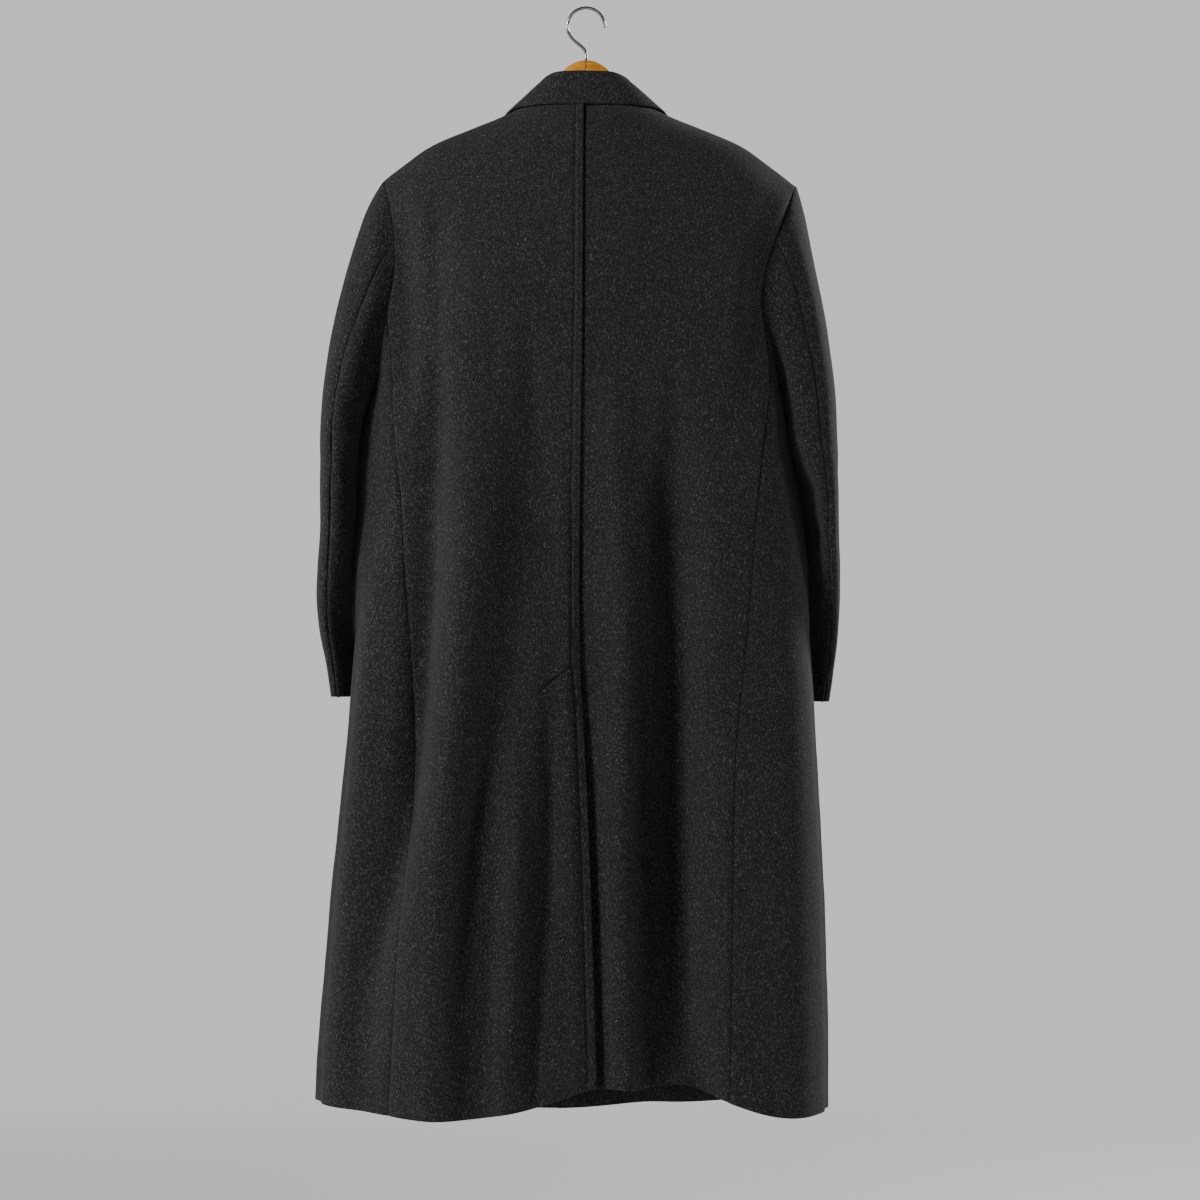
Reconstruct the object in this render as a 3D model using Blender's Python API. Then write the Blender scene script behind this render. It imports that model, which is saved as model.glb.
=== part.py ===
"""Long wool overcoat hung on a contoured wooden hanger.

Metres, +Z up.  The origin is the inner top of the hanger's hook.  The wearer's
left is +X and the coat's front faces -Y.  Each cut piece of cloth is a wall
built through rows worked out from the size tables below.
"""
import bmesh
import bpy
import numpy as np
from math import pi

# ------------------------------------------------------------------ cloth sizes
CLOTH = 0.0028          # thickness of the fulled wool
SEAM = 0.00036          # gap left at each seam
CHEST_Z = -0.450        # underarm height
TIP_Z = -0.205          # height of the sleeve head
SQUARE = 2.6            # squareness of the body's sections
NECK_X = 0.070          # half width of the neck at the shoulder seam
BREAK_Z = -0.435        # height where the lapels meet
FRONT_LAP = 0.036       # each front passes the middle by this much

# ---------------------------------------------------------------- hanger sizes
ARM_REST = 0.100
ARM_CLEAR = 0.0006      # space between the arm and the cloth on it
WIRE = 0.0019
HOOK_RADIUS = 0.0219

# Body sections: height, half width to the left and right, depth to the back and front
BODY = np.array((
    # z,     left,   right,  back,  front
    (-0.200, 0.2500, 0.2620, 0.118, 0.122),
    (-0.250, 0.2490, 0.2510, 0.118, 0.122),
    (-0.300, 0.2475, 0.2400, 0.118, 0.122),
    (-0.360, 0.2465, 0.2270, 0.118, 0.122),
    (-0.450, 0.2480, 0.2265, 0.118, 0.122),
    (-0.520, 0.2590, 0.2320, 0.116, 0.121),
    (-0.590, 0.2640, 0.2430, 0.114, 0.122),
    (-0.660, 0.2665, 0.2560, 0.114, 0.125),
    (-0.720, 0.2710, 0.2620, 0.115, 0.128),
    (-0.827, 0.2800, 0.2705, 0.118, 0.134),
    (-0.945, 0.2915, 0.2770, 0.122, 0.140),
    (-1.087, 0.3056, 0.2840, 0.127, 0.146),
    (-1.228, 0.3170, 0.2870, 0.132, 0.152),
    (-1.310, 0.3215, 0.2870, 0.135, 0.155),
))

# Shoulder ridge: distance from the middle, height
RIDGE = np.array((
    (0.000, -0.0980),
    (0.040, -0.1025),
    (0.078, -0.1165),
    (0.100, -0.1266),
    (0.130, -0.1384),
    (0.183, -0.1604),
    (0.221, -0.1870),
    (0.249, -0.2080),
))

# Seam from the shoulder tip down the armhole, then down the side: height, distance out
SIDE_SEAM = {
    ("left", "back"): np.array((
        (-0.205, 0.2395), (-0.250, 0.2325), (-0.285, 0.2300), (-0.320, 0.2300),
        (-0.361, 0.2345), (-0.400, 0.2335), (-0.450, 0.2295), (-0.497, 0.2250),
        (-0.600, 0.2195), (-0.697, 0.2160), (-0.874, 0.2115), (-1.110, 0.2195),
        (-1.310, 0.2300),
    )),
    ("right", "back"): np.array((
        (-0.205, 0.2490), (-0.237, 0.2385), (-0.267, 0.2290), (-0.296, 0.2200),
        (-0.326, 0.2140), (-0.361, 0.2115), (-0.400, 0.2125), (-0.450, 0.2100),
        (-0.520, 0.2018), (-0.620, 0.1965), (-0.721, 0.1910), (-0.910, 0.1760),
        (-1.050, 0.1735), (-1.310, 0.1705),
    )),
    ("left", "front"): np.array((
        (-0.205, 0.2395), (-0.250, 0.2290), (-0.285, 0.2245), (-0.320, 0.2235),
        (-0.361, 0.2275), (-0.400, 0.2280), (-0.450, 0.2230), (-0.520, 0.2160),
        (-0.700, 0.2100), (-0.900, 0.2140), (-1.310, 0.2360),
    )),
    ("right", "front"): np.array((
        (-0.205, 0.2490), (-0.237, 0.2370), (-0.267, 0.2260), (-0.296, 0.2165),
        (-0.326, 0.2100), (-0.361, 0.2080), (-0.400, 0.2080), (-0.450, 0.2060),
        (-0.520, 0.2000), (-0.700, 0.1980), (-0.900, 0.2020), (-1.310, 0.2150),
    )),
}

# Lapped edge down the middle of the back: height, place of the edge, passing
# of the right panel beneath it, lift of the left panel, drop of the right one
BACK_EDGE = np.array((
    (-0.100, 0.0020, 0.010, 0.0016, 0.0032),
    (-0.400, 0.0040, 0.010, 0.0016, 0.0032),
    (-0.700, 0.0070, 0.010, 0.0016, 0.0032),
    (-0.776, 0.0060, 0.013, 0.0017, 0.0035),
    (-0.810, 0.0040, 0.047, 0.0020, 0.0046),
    (-0.933, -0.0024, 0.047, 0.0026, 0.0056),
    (-1.170, -0.0106, 0.047, 0.0030, 0.0062),
    (-1.310, -0.0140, 0.047, 0.0034, 0.0068),
))

# Inner edge of a front: height, distance past the middle on its own side
FRONT_EDGE = np.array((
    (-0.113, NECK_X),
    (-0.220, 0.0485),
    (-0.330, 0.0255),
    (BREAK_Z, 0.0035),
    (-0.452, -0.0180),
    (-0.475, -0.0330),
    (-0.510, -FRONT_LAP),
    (-1.330, -FRONT_LAP),
))

# Hem height by place across
BACK_HEM = np.array((
    (-0.290, -1.2960), (-0.241, -1.3000), (-0.182, -1.2860), (-0.123, -1.2620),
    (-0.093, -1.2600), (-0.058, -1.2660), (-0.010, -1.2640), (0.020, -1.2740),
    (0.078, -1.2900), (0.166, -1.3000), (0.250, -1.2930), (0.322, -1.2860),
))
FRONT_HEM = np.array((
    (-0.290, -1.2960), (-0.200, -1.3000), (-0.100, -1.3020), (0.036, -1.3120),
    (0.120, -1.3080), (0.240, -1.2980), (0.322, -1.2860),
))

# Folds on the back: name, height, place across, half width, lift (a trough is below zero)
BACK_FOLDS = (
    ("left side trough", ((-0.46, 0.196, 0.022, 0.000), (-0.58, 0.219, 0.026, -0.007),
                          (-0.87, 0.222, 0.030, -0.010), (-1.05, 0.243, 0.032, -0.009),
                          (-1.32, 0.262, 0.032, -0.007))),
    ("left ridge", ((-0.45, 0.149, 0.035, 0.000), (-0.60, 0.150, 0.038, 0.008),
                    (-0.87, 0.172, 0.036, 0.011), (-1.20, 0.196, 0.038, 0.012),
                    (-1.32, 0.196, 0.038, 0.011))),
    ("left trough", ((-0.40, 0.068, 0.024, 0.000), (-0.55, 0.066, 0.028, -0.008),
                     (-0.76, 0.090, 0.030, -0.011), (-0.99, 0.122, 0.030, -0.013),
                     (-1.32, 0.128, 0.032, -0.012))),
    ("left small ridge", ((-0.80, 0.074, 0.018, 0.000), (-1.00, 0.080, 0.020, 0.004),
                          (-1.32, 0.102, 0.022, 0.005))),
    ("left inner trough", ((-0.85, 0.052, 0.014, 0.000), (-1.05, 0.054, 0.016, -0.005),
                           (-1.32, 0.056, 0.018, -0.005))),
    ("left inner ridge", ((-0.50, 0.031, 0.018, 0.000), (-0.90, 0.031, 0.020, 0.003),
                          (-1.32, 0.026, 0.020, 0.003))),
    ("right inner ridge", ((-0.42, -0.034, 0.016, 0.000), (-0.70, -0.040, 0.020, 0.005),
                           (-1.32, -0.042, 0.022, 0.006))),
    ("right deep trough", ((-0.38, -0.046, 0.014, 0.000), (-0.49, -0.064, 0.020, -0.006),
                           (-0.58, -0.085, 0.022, -0.012), (-0.76, -0.087, 0.028, -0.021),
                           (-0.95, -0.088, 0.034, -0.030), (-1.20, -0.090, 0.032, -0.028),
                           (-1.32, -0.088, 0.028, -0.022))),
    ("right broad ridge", ((-0.40, -0.150, 0.050, 0.000), (-0.65, -0.152, 0.048, 0.008),
                           (-1.32, -0.156, 0.046, 0.012))),
    ("left blade hollow", ((-0.20, 0.216, 0.018, 0.000), (-0.27, 0.215, 0.020, -0.010),
                           (-0.35, 0.208, 0.022, -0.011), (-0.44, 0.200, 0.024, -0.004),
                           (-0.50, 0.200, 0.024, 0.000))),
    ("left blade ripple", ((-0.20, 0.168, 0.018, 0.000), (-0.28, 0.170, 0.020, -0.004),
                           (-0.40, 0.172, 0.022, 0.000))),
    ("right blade hollow", ((-0.21, -0.204, 0.016, 0.000), (-0.29, -0.200, 0.018, -0.011),
                            (-0.38, -0.196, 0.020, -0.013), (-0.47, -0.192, 0.022, -0.005),
                            (-0.55, -0.190, 0.022, 0.000))),
)
# Folds on the front, plain and soft
FRONT_FOLDS = (
    ("left front trough", ((-0.55, 0.130, 0.040, 0.000), (-0.90, 0.134, 0.042, -0.010),
                           (-1.33, 0.142, 0.044, -0.015))),
    ("left front ridge", ((-0.60, 0.205, 0.036, 0.000), (-1.00, 0.215, 0.038, 0.007),
                          (-1.33, 0.222, 0.040, 0.010))),
    ("right front trough", ((-0.60, -0.118, 0.040, 0.000), (-0.95, -0.122, 0.042, -0.011),
                            (-1.33, -0.126, 0.046, -0.013))),
    ("right front ridge", ((-0.62, -0.185, 0.034, 0.000), (-1.05, -0.190, 0.036, 0.006),
                           (-1.33, -0.194, 0.038, 0.008))),
    ("left chest hollow", ((-0.24, 0.196, 0.018, 0.000), (-0.34, 0.192, 0.022, -0.007),
                           (-0.46, 0.186, 0.024, 0.000))),
    ("right chest hollow", ((-0.24, -0.196, 0.018, 0.000), (-0.34, -0.186, 0.022, -0.007),
                            (-0.46, -0.182, 0.024, 0.000))),
)

# Sleeve sections: height, outer edge, middle front to back, half width, half depth, twist
SLEEVE = {
    "left": np.array((
        (-0.500, 0.3118, -0.010, 0.0205, 0.070, 5.0),
        (-0.560, 0.3122, -0.016, 0.0200, 0.070, 6.0),
        (-0.610, 0.3122, -0.023, 0.0195, 0.070, 7.0),
        (-0.680, 0.3172, -0.036, 0.0200, 0.069, 8.0),
        (-0.715, 0.3165, -0.050, 0.0185, 0.068, 11.0),
        (-0.760, 0.3085, -0.064, 0.0170, 0.067, 14.0),
        (-0.812, 0.3020, -0.080, 0.0150, 0.066, 18.0),
    )),
    "right": np.array((
        (-0.500, 0.2955, -0.010, 0.0270, 0.068, 5.0),
        (-0.545, 0.2970, -0.015, 0.0235, 0.069, 6.0),
        (-0.600, 0.2972, -0.023, 0.0185, 0.070, 7.0),
        (-0.660, 0.2990, -0.033, 0.0185, 0.069, 8.0),
        (-0.710, 0.2990, -0.054, 0.0165, 0.068, 11.0),
        (-0.760, 0.2945, -0.074, 0.0150, 0.067, 15.0),
        (-0.818, 0.2880, -0.096, 0.0140, 0.065, 20.0),
    )),
}

# How far the sleeve head leans out before it drops
HEAD_LEAN = {"left": 0.62, "right": 0.25}

# Collar, middle of the back to the front end: place along it, top of the roll (x, y, z),
# leaf edge (x, angle over the shoulder), foot of the stand (x, angle over the shoulder)
COLLAR = np.array((
    (0.00, 0.0000, 0.0340, -0.0742, 0.0000, 17.2, 0.0000, 12.2),
    (0.16, 0.0250, 0.0305, -0.0744, 0.0360, 16.0, 0.0240, 11.4),
    (0.32, 0.0425, 0.0195, -0.0790, 0.0660, 11.1, 0.0460, 7.8),
    (0.48, 0.0530, 0.0030, -0.0880, 0.0880, 0.0, 0.0655, 0.0),
    (0.65, 0.0570, -0.0200, -0.1020, 0.1000, -12.0, 0.0650, -12.0),
    (0.83, 0.0590, -0.0440, -0.1250, 0.1060, -23.0, 0.0617, -21.5),
    (1.00, 0.0588, -0.0600, -0.1465, 0.1010, -32.5, 0.0585, -28.5),
))

# Lapel: place down the roll line, height at the roll line, outer edge (x, height)
LAPEL = np.array((
    (0.00, -0.1560, 0.1270, -0.1930),
    (0.12, -0.1800, 0.1260, -0.2160),
    (0.35, -0.2450, 0.1060, -0.2780),
    (0.65, -0.3300, 0.0650, -0.3560),
    (0.88, -0.3780, 0.0360, -0.3950),
    (1.00, -0.4020, 0.0190, -0.4130),
))

BUTTON_HEIGHTS = (-0.490, -0.630, -0.770)
BUTTON_X = -0.010
BUTTON_CLEAR = 0.0001

# Hanger arm: distance out, top, bottom, half thickness.  From ARM_REST outwards the
# top follows the shoulder seam beneath the cloth.
ARM = np.array((
    (0.0002, -0.0600, -0.1020, 0.0070),
    (0.0100, -0.0614, -0.1060, 0.0070),
    (0.0200, -0.0664, -0.1120, 0.0070),
    (0.0275, -0.0730, -0.1165, 0.0071),
    (0.0380, -0.0860, -0.1240, 0.0073),
    (0.0500, -0.1010, -0.1330, 0.0076),
    (0.0660, -0.1215, -0.1440, 0.0080),
    (0.0900, -0.1280, -0.1560, 0.0090),
    (0.1080, -0.1350, -0.1620, 0.0100),
    (0.1250, -0.1420, -0.1675, 0.0110),
    (0.1420, -0.1500, -0.1735, 0.0120),
    (0.1600, -0.1545, -0.1800, 0.0130),
    (0.1780, -0.1650, -0.1885, 0.0138),
    (0.1950, -0.1745, -0.1980, 0.0140),
    (0.2120, -0.1875, -0.2090, 0.0135),
    (0.2210, -0.2000, -0.2110, 0.0080),
))

SKIRT_ROWS = 14
UPPER_LEVELS = (0.08, 0.16, 0.24, 0.35, 0.46, 0.57, 0.68, 0.79, 0.90, 1.0)
SIDE_TOP = 3            # upper rows the side panels reach

COLOURS = {
    "wool": ((0.0165, 0.0160, 0.0160), 0.92, 0.0),
    "wood": ((0.62, 0.33, 0.10), 0.32, 0.0),
    "steel": ((0.60, 0.60, 0.60), 0.28, 1.0),
    "horn": ((0.020, 0.017, 0.016), 0.35, 0.0),
}


# ------------------------------------------------------------------ number tools
def through(xs, ys, x):
    """Smooth monotone curve through a table's points."""
    order = np.argsort(xs)
    xs, ys = np.asarray(xs, float)[order], np.asarray(ys, float)[order]
    x = np.clip(np.asarray(x, float), xs[0], xs[-1])
    step = np.diff(xs)
    slope = np.diff(ys) / step
    lean = np.zeros_like(ys)
    lean[0], lean[-1] = slope[0], slope[-1]
    same = slope[:-1] * slope[1:] > 0
    mix = np.where(same, slope[:-1] * slope[1:], 0.0)
    lean[1:-1] = np.where(same, 2 * mix / np.where(same, slope[:-1] + slope[1:], 1.0), 0.0)
    i = np.clip(np.searchsorted(xs, x) - 1, 0, len(step) - 1)
    t = (x - xs[i]) / step[i]
    return (ys[i] * (1 + 2 * t) * (1 - t) ** 2 + step[i] * lean[i] * t * (1 - t) ** 2
            + ys[i + 1] * t * t * (3 - 2 * t) + step[i] * lean[i + 1] * t * t * (t - 1))


def unit(v):
    return v / np.maximum(np.linalg.norm(v, axis=-1, keepdims=True), 1e-12)


def hump(t):
    """Soft bump, one in the middle and nothing beyond one."""
    return np.where(np.abs(t) < 1, np.cos(np.clip(t, -1, 1) * pi / 2) ** 2, 0.0)


def ease(t):
    t = np.clip(t, 0, 1)
    return t * t * (3 - 2 * t)


# ------------------------------------------------------------------ body surface
def half_width(z, x_sign):
    return np.where(np.asarray(x_sign) >= 0, through(BODY[:, 0], BODY[:, 1], z),
                    through(BODY[:, 0], BODY[:, 2], z))


def ridge_z(x):
    return through(RIDGE[:, 0], RIDGE[:, 1], np.abs(x))


def ridge_y(x):
    return -0.35 * np.asarray(x) ** 2


def table_z(level):
    """Height in the tables for a level: metres below the chest, or 0 to 1 up to the ridge."""
    up = np.sin(np.clip(level, 0, 2) * pi / 2)
    return np.where(level <= 0, CHEST_Z + level, CHEST_Z + (TIP_Z - CHEST_Z) * up)


def plain_body(angle, level):
    """Body without folds; the angle runs from the middle of the back round the left side."""
    angle, level = np.broadcast_arrays(np.asarray(angle, float), np.asarray(level, float))
    s, c = np.sin(angle), np.cos(angle)
    z_in = table_z(level)
    x = half_width(z_in, s) * s
    depth = np.where(c >= 0, through(BODY[:, 0], BODY[:, 3], z_in),
                     through(BODY[:, 0], BODY[:, 4], z_in))
    full = np.sign(c) * depth * np.maximum(1 - np.abs(s) ** SQUARE, 1e-9) ** (1 / SQUARE)
    up = level > 0
    fade = np.where(up, np.cos(level * pi / 2), 1.0)
    y = ridge_y(x) * (1 - fade) + full * fade
    z = np.where(up, CHEST_Z + (ridge_z(x) - CHEST_Z) * np.sin(level * pi / 2), CHEST_Z + level)
    return np.stack((x, y, z), -1)


def slope_normal(surface, angle, level, step=0.002):
    du = surface(angle + step, level) - surface(angle - step, level)
    dv = surface(angle, level + step) - surface(angle, level - step)
    return unit(np.cross(dv, du))


def fold_lift(folds, x, z):
    lift = np.zeros(np.broadcast(x, z).shape)
    for _name, rows in folds:
        rows = np.array(rows)
        middle = through(rows[:, 0], rows[:, 1], z)
        width = through(rows[:, 0], rows[:, 2], z)
        height = through(rows[:, 0], rows[:, 3], z)
        inside = (z <= rows[:, 0].max()) & (z >= rows[:, 0].min() - 0.05)
        lift = lift + np.where(inside, height * hump((x - middle) / (1.6 * width)), 0.0)
    return lift


def body(angle, level, extra=None):
    """Body with its folds, and a panel's own lift."""
    angle, level = np.broadcast_arrays(np.asarray(angle, float), np.asarray(level, float))
    base = plain_body(angle, level)
    x, z = base[..., 0], base[..., 2]
    back = np.cos(angle) >= 0
    lift = np.where(back, fold_lift(BACK_FOLDS, x, z), fold_lift(FRONT_FOLDS, x, z))
    lift = lift * ease((1 - level) / 0.25)
    if extra is not None:
        lift = lift + extra(x, z)
    return base + slope_normal(plain_body, angle, level) * lift[..., None]


def angle_at(x, z, back=True):
    """Angle whose place across at a table height is x."""
    s = np.clip(np.asarray(x) / half_width(z, x), -0.999, 0.999)
    a = np.arcsin(s)
    return a if back else pi - a


# ------------------------------------------------------------------- wall maker
def draw_in(outer, inner, edge, gap):
    """Draw one edge of a wall back from its seam."""
    for grid in (outer, inner):
        near, past = {"first": (0, 1), "last": (-1, -2)}[edge[0]]
        if edge[1] == "column":
            grid[near] += unit(grid[past] - grid[near]) * gap
        else:
            grid[:, near] += unit(grid[:, past] - grid[:, near]) * gap


def add_wall(name, outer, inner, material):
    """Closed wall between two grids of points."""
    nu, nv = outer.shape[:2]
    points = np.concatenate((outer.reshape(-1, 3), inner.reshape(-1, 3)))
    number = np.arange(nu * nv).reshape(nu, nv)
    faces = []
    for i in range(nu - 1):
        for j in range(nv - 1):
            quad = (number[i, j], number[i + 1, j], number[i + 1, j + 1], number[i, j + 1])
            faces.append(quad)
            faces.append(tuple(n + nu * nv for n in reversed(quad)))
    border = (list(number[:, 0]) + list(number[-1, 1:]) + list(number[-2::-1, -1])
              + list(number[0, -2:0:-1]))
    for a, b in zip(border, border[1:] + border[:1]):
        far_a, far_b = a + nu * nv, b + nu * nv
        if points[a][2] + 0.1 * abs(points[a][0]) > points[b][2] + 0.1 * abs(points[b][0]):
            faces += [(b, a, far_b), (a, far_a, far_b)]
        else:
            faces += [(b, a, far_a), (b, far_a, far_b)]
    return add_mesh(name, points, faces, material)


def add_mesh(name, points, faces, material):
    mesh = bpy.data.meshes.new(name)
    mesh.from_pydata([tuple(p) for p in points], [], [tuple(int(n) for n in f) for f in faces])
    work = bmesh.new()
    work.from_mesh(mesh)
    bmesh.ops.recalc_face_normals(work, faces=work.faces)
    for face in work.faces:
        face.smooth = True
    work.to_mesh(mesh)
    work.free()
    thing = bpy.data.objects.new(name, mesh)
    COAT.objects.link(thing)
    thing.data.materials.append(MATERIALS[material])
    return thing


def make_material(name):
    colour, rough, metal = COLOURS[name]
    material = bpy.data.materials.new(name)
    material.use_nodes = True
    shader = material.node_tree.nodes["Principled BSDF"]
    shader.inputs["Base Color"].default_value = (*colour, 1)
    shader.inputs["Roughness"].default_value = rough
    shader.inputs["Metallic"].default_value = metal
    material.diffuse_color = (*colour, 1)
    return material


# ------------------------------------------------------------------ body panels
def side_seam_angle(side, half, level):
    sign = 1 if side == "left" else -1
    table = SIDE_SEAM[side, half]
    z = table_z(level)
    return angle_at(sign * through(table[:, 0], table[:, 1], z), z, half == "back")


def neck_level(x, lap=0.0):
    """Top level of a back panel: the ridge, or the neck's edge near the middle.

    Where the panel passes beneath the other one it lies lower, so its edge goes further up.
    """
    drop = 14.0 - (1.2 if lap else 0.0) * np.exp(-((x - lap / 2) / 0.024) ** 2)
    drop = drop * np.sqrt(np.clip(1 - (x / NECK_X) ** 2, 0, 1))
    return 1 - drop / 90


def panel(name, inner_angle, outer_angle, hem, columns, extra, neck=False, lap=0.0):
    """Back or front panel, from its middle edge to its side seam and armhole.

    The first two columns take up how far the edge passes beneath the other panel.
    """
    s = (np.arange(columns + 1) / columns)[:, None]

    def across(v):
        edge, far = inner_angle(v), outer_angle(v)
        if not lap:
            return edge + (far - edge) * s
        z = table_z(v)
        begin = angle_at(back_edge(z, 1) + lap, z)
        rest = np.clip((s * columns - 2) / (columns - 2), 0, 1)
        under = np.clip(1 - s * columns / 2, 0, 1)
        return begin + (far - begin) * rest + (edge - begin) * under

    low = across(-0.85)
    hem_z = through(hem[:, 0], hem[:, 1], plain_body(low, -0.85)[..., 0])
    v = np.arange(SKIRT_ROWS + 1)[None, :] / SKIRT_ROWS
    skirt = (hem_z - CHEST_Z) * (1 - v)
    upper = np.array(UPPER_LEVELS)[None, :] * np.ones_like(s)
    if neck:
        upper = upper * neck_level(plain_body(across(1.0), 1.0)[..., 0], lap)
    level = np.concatenate((skirt, upper), 1)
    rows = np.concatenate((skirt, np.array(UPPER_LEVELS)[None, :] * np.ones_like(s)), 1)
    angle = across(rows)

    def surface(a, b):
        return body(a, b, extra)

    outer = surface(angle, level)
    inner = outer - CLOTH * slope_normal(surface, angle, level)
    for edge in (("last", "column"), ("last", "row")):
        draw_in(outer, inner, edge, SEAM / 2)
    return add_wall(name, outer, inner, "wool")


def back_edge(z, column):
    return through(BACK_EDGE[:, 0], BACK_EDGE[:, column], z)


def back_left_lift(x, z):
    return back_edge(z, 3) * (1 - ease((x - back_edge(z, 1) - 0.010) / 0.022))


def back_right_lift(x, z):
    return -back_edge(z, 4) * (1 - ease((back_edge(z, 1) - x) / 0.024))


def front_lap(z):
    return ease((-0.370 - z) / 0.05)


def front_left_lift(x, z):
    return 0.0016 * front_lap(z) * (1 - ease((x - FRONT_LAP - 0.004) / 0.035))


def front_right_lift(x, z):
    return -0.0026 * front_lap(z) * (1 - ease((-FRONT_LAP - x) / 0.035))


def front_edge_angle(side):
    sign = 1 if side == "left" else -1

    def edge(level):
        z = table_z(level)
        true_z = np.where(level > 0, CHEST_Z + (-0.108 - CHEST_Z) * np.sin(
            np.clip(level, 0, 1) * pi / 2), z)
        return angle_at(sign * through(FRONT_EDGE[:, 0], FRONT_EDGE[:, 1], true_z), z, False)
    return edge


def side_angles(side):
    """Back and front seam angles of a side panel, both going the same way round."""
    def first(level):
        return side_seam_angle(side, "back", level)

    def last(level):
        a = side_seam_angle(side, "front", level)
        return a if side == "left" else a - 2 * pi
    return first, last


def side_levels(side, columns):
    """Levels of a side panel, whose top is the curve under the arm."""
    first, last = side_angles(side)
    s = (np.arange(columns + 1) / columns)[:, None]
    low = first(-0.85) + (last(-0.85) - first(-0.85)) * s
    x = plain_body(low, -0.85)[..., 0]
    hem_z = np.where(np.cos(low) >= 0, through(BACK_HEM[:, 0], BACK_HEM[:, 1], x),
                     through(FRONT_HEM[:, 0], FRONT_HEM[:, 1], x))
    v = np.arange(SKIRT_ROWS + 1)[None, :] / SKIRT_ROWS
    skirt = (hem_z - CHEST_Z) * (1 - v)
    metre = 0.377
    rows = np.concatenate((skirt, np.array(UPPER_LEVELS[:SIDE_TOP])[None, :] * metre
                           * np.ones_like(s)), 1)
    start = SKIRT_ROWS - 2
    top = UPPER_LEVELS[SIDE_TOP - 1] * metre * np.abs(2 * s - 1) ** 2.0
    low_row = rows[:, start:start + 1]
    share = (rows[:, start:] - low_row) / (rows[:, -1:] - low_row)
    rows = rows.copy()
    rows[:, start:] = low_row + (top - low_row) * share
    level = np.where(rows > 0, rows / metre, rows)
    return level, first(level) + (last(level) - first(level)) * s


def side_panel(side, columns):
    level, angle = side_levels(side, columns)
    outer = body(angle, level)
    inner = outer - CLOTH * slope_normal(body, angle, level)
    draw_in(outer, inner, ("first", "column"), SEAM / 2)
    draw_in(outer, inner, ("last", "column"), SEAM / 2)
    return add_wall("side_" + side, outer, inner, "wool")


# ---------------------------------------------------------------------- sleeves
def armhole(side, columns):
    """Armhole loop from the shoulder tip down the back, under the arm and up the front."""
    ups = np.array(UPPER_LEVELS[SIDE_TOP - 1:])
    level, angle = side_levels(side, columns)
    under_level, under_angle = level[:, -1], angle[:, -1]
    back_level = ups[::-1]
    back_angle = side_seam_angle(side, "back", back_level)
    front_level = ups[:-1]
    front_angle = side_seam_angle(side, "front", front_level)
    if side == "right":
        front_angle = front_angle - 2 * pi
    levels = np.concatenate((back_level, under_level[1:-1], front_level))
    angles = np.concatenate((back_angle, under_angle[1:-1], front_angle))
    points = body(angles, levels)
    normals = slope_normal(body, angles, levels)
    return points, normals, len(back_level), columns - 1


def sleeve_angles(points, back_seam, under, front_seam):
    """Angle round the sleeve of each armhole point, with the seams at their places."""
    path = np.concatenate(((0,), np.cumsum(np.linalg.norm(
        np.diff(np.concatenate((points, points[:1])), axis=0), axis=1))))
    marks = path[[0, back_seam, under, front_seam, len(points)]]
    return np.interp(path[:-1], marks, (0, 92, 180, 272, 360))


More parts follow.
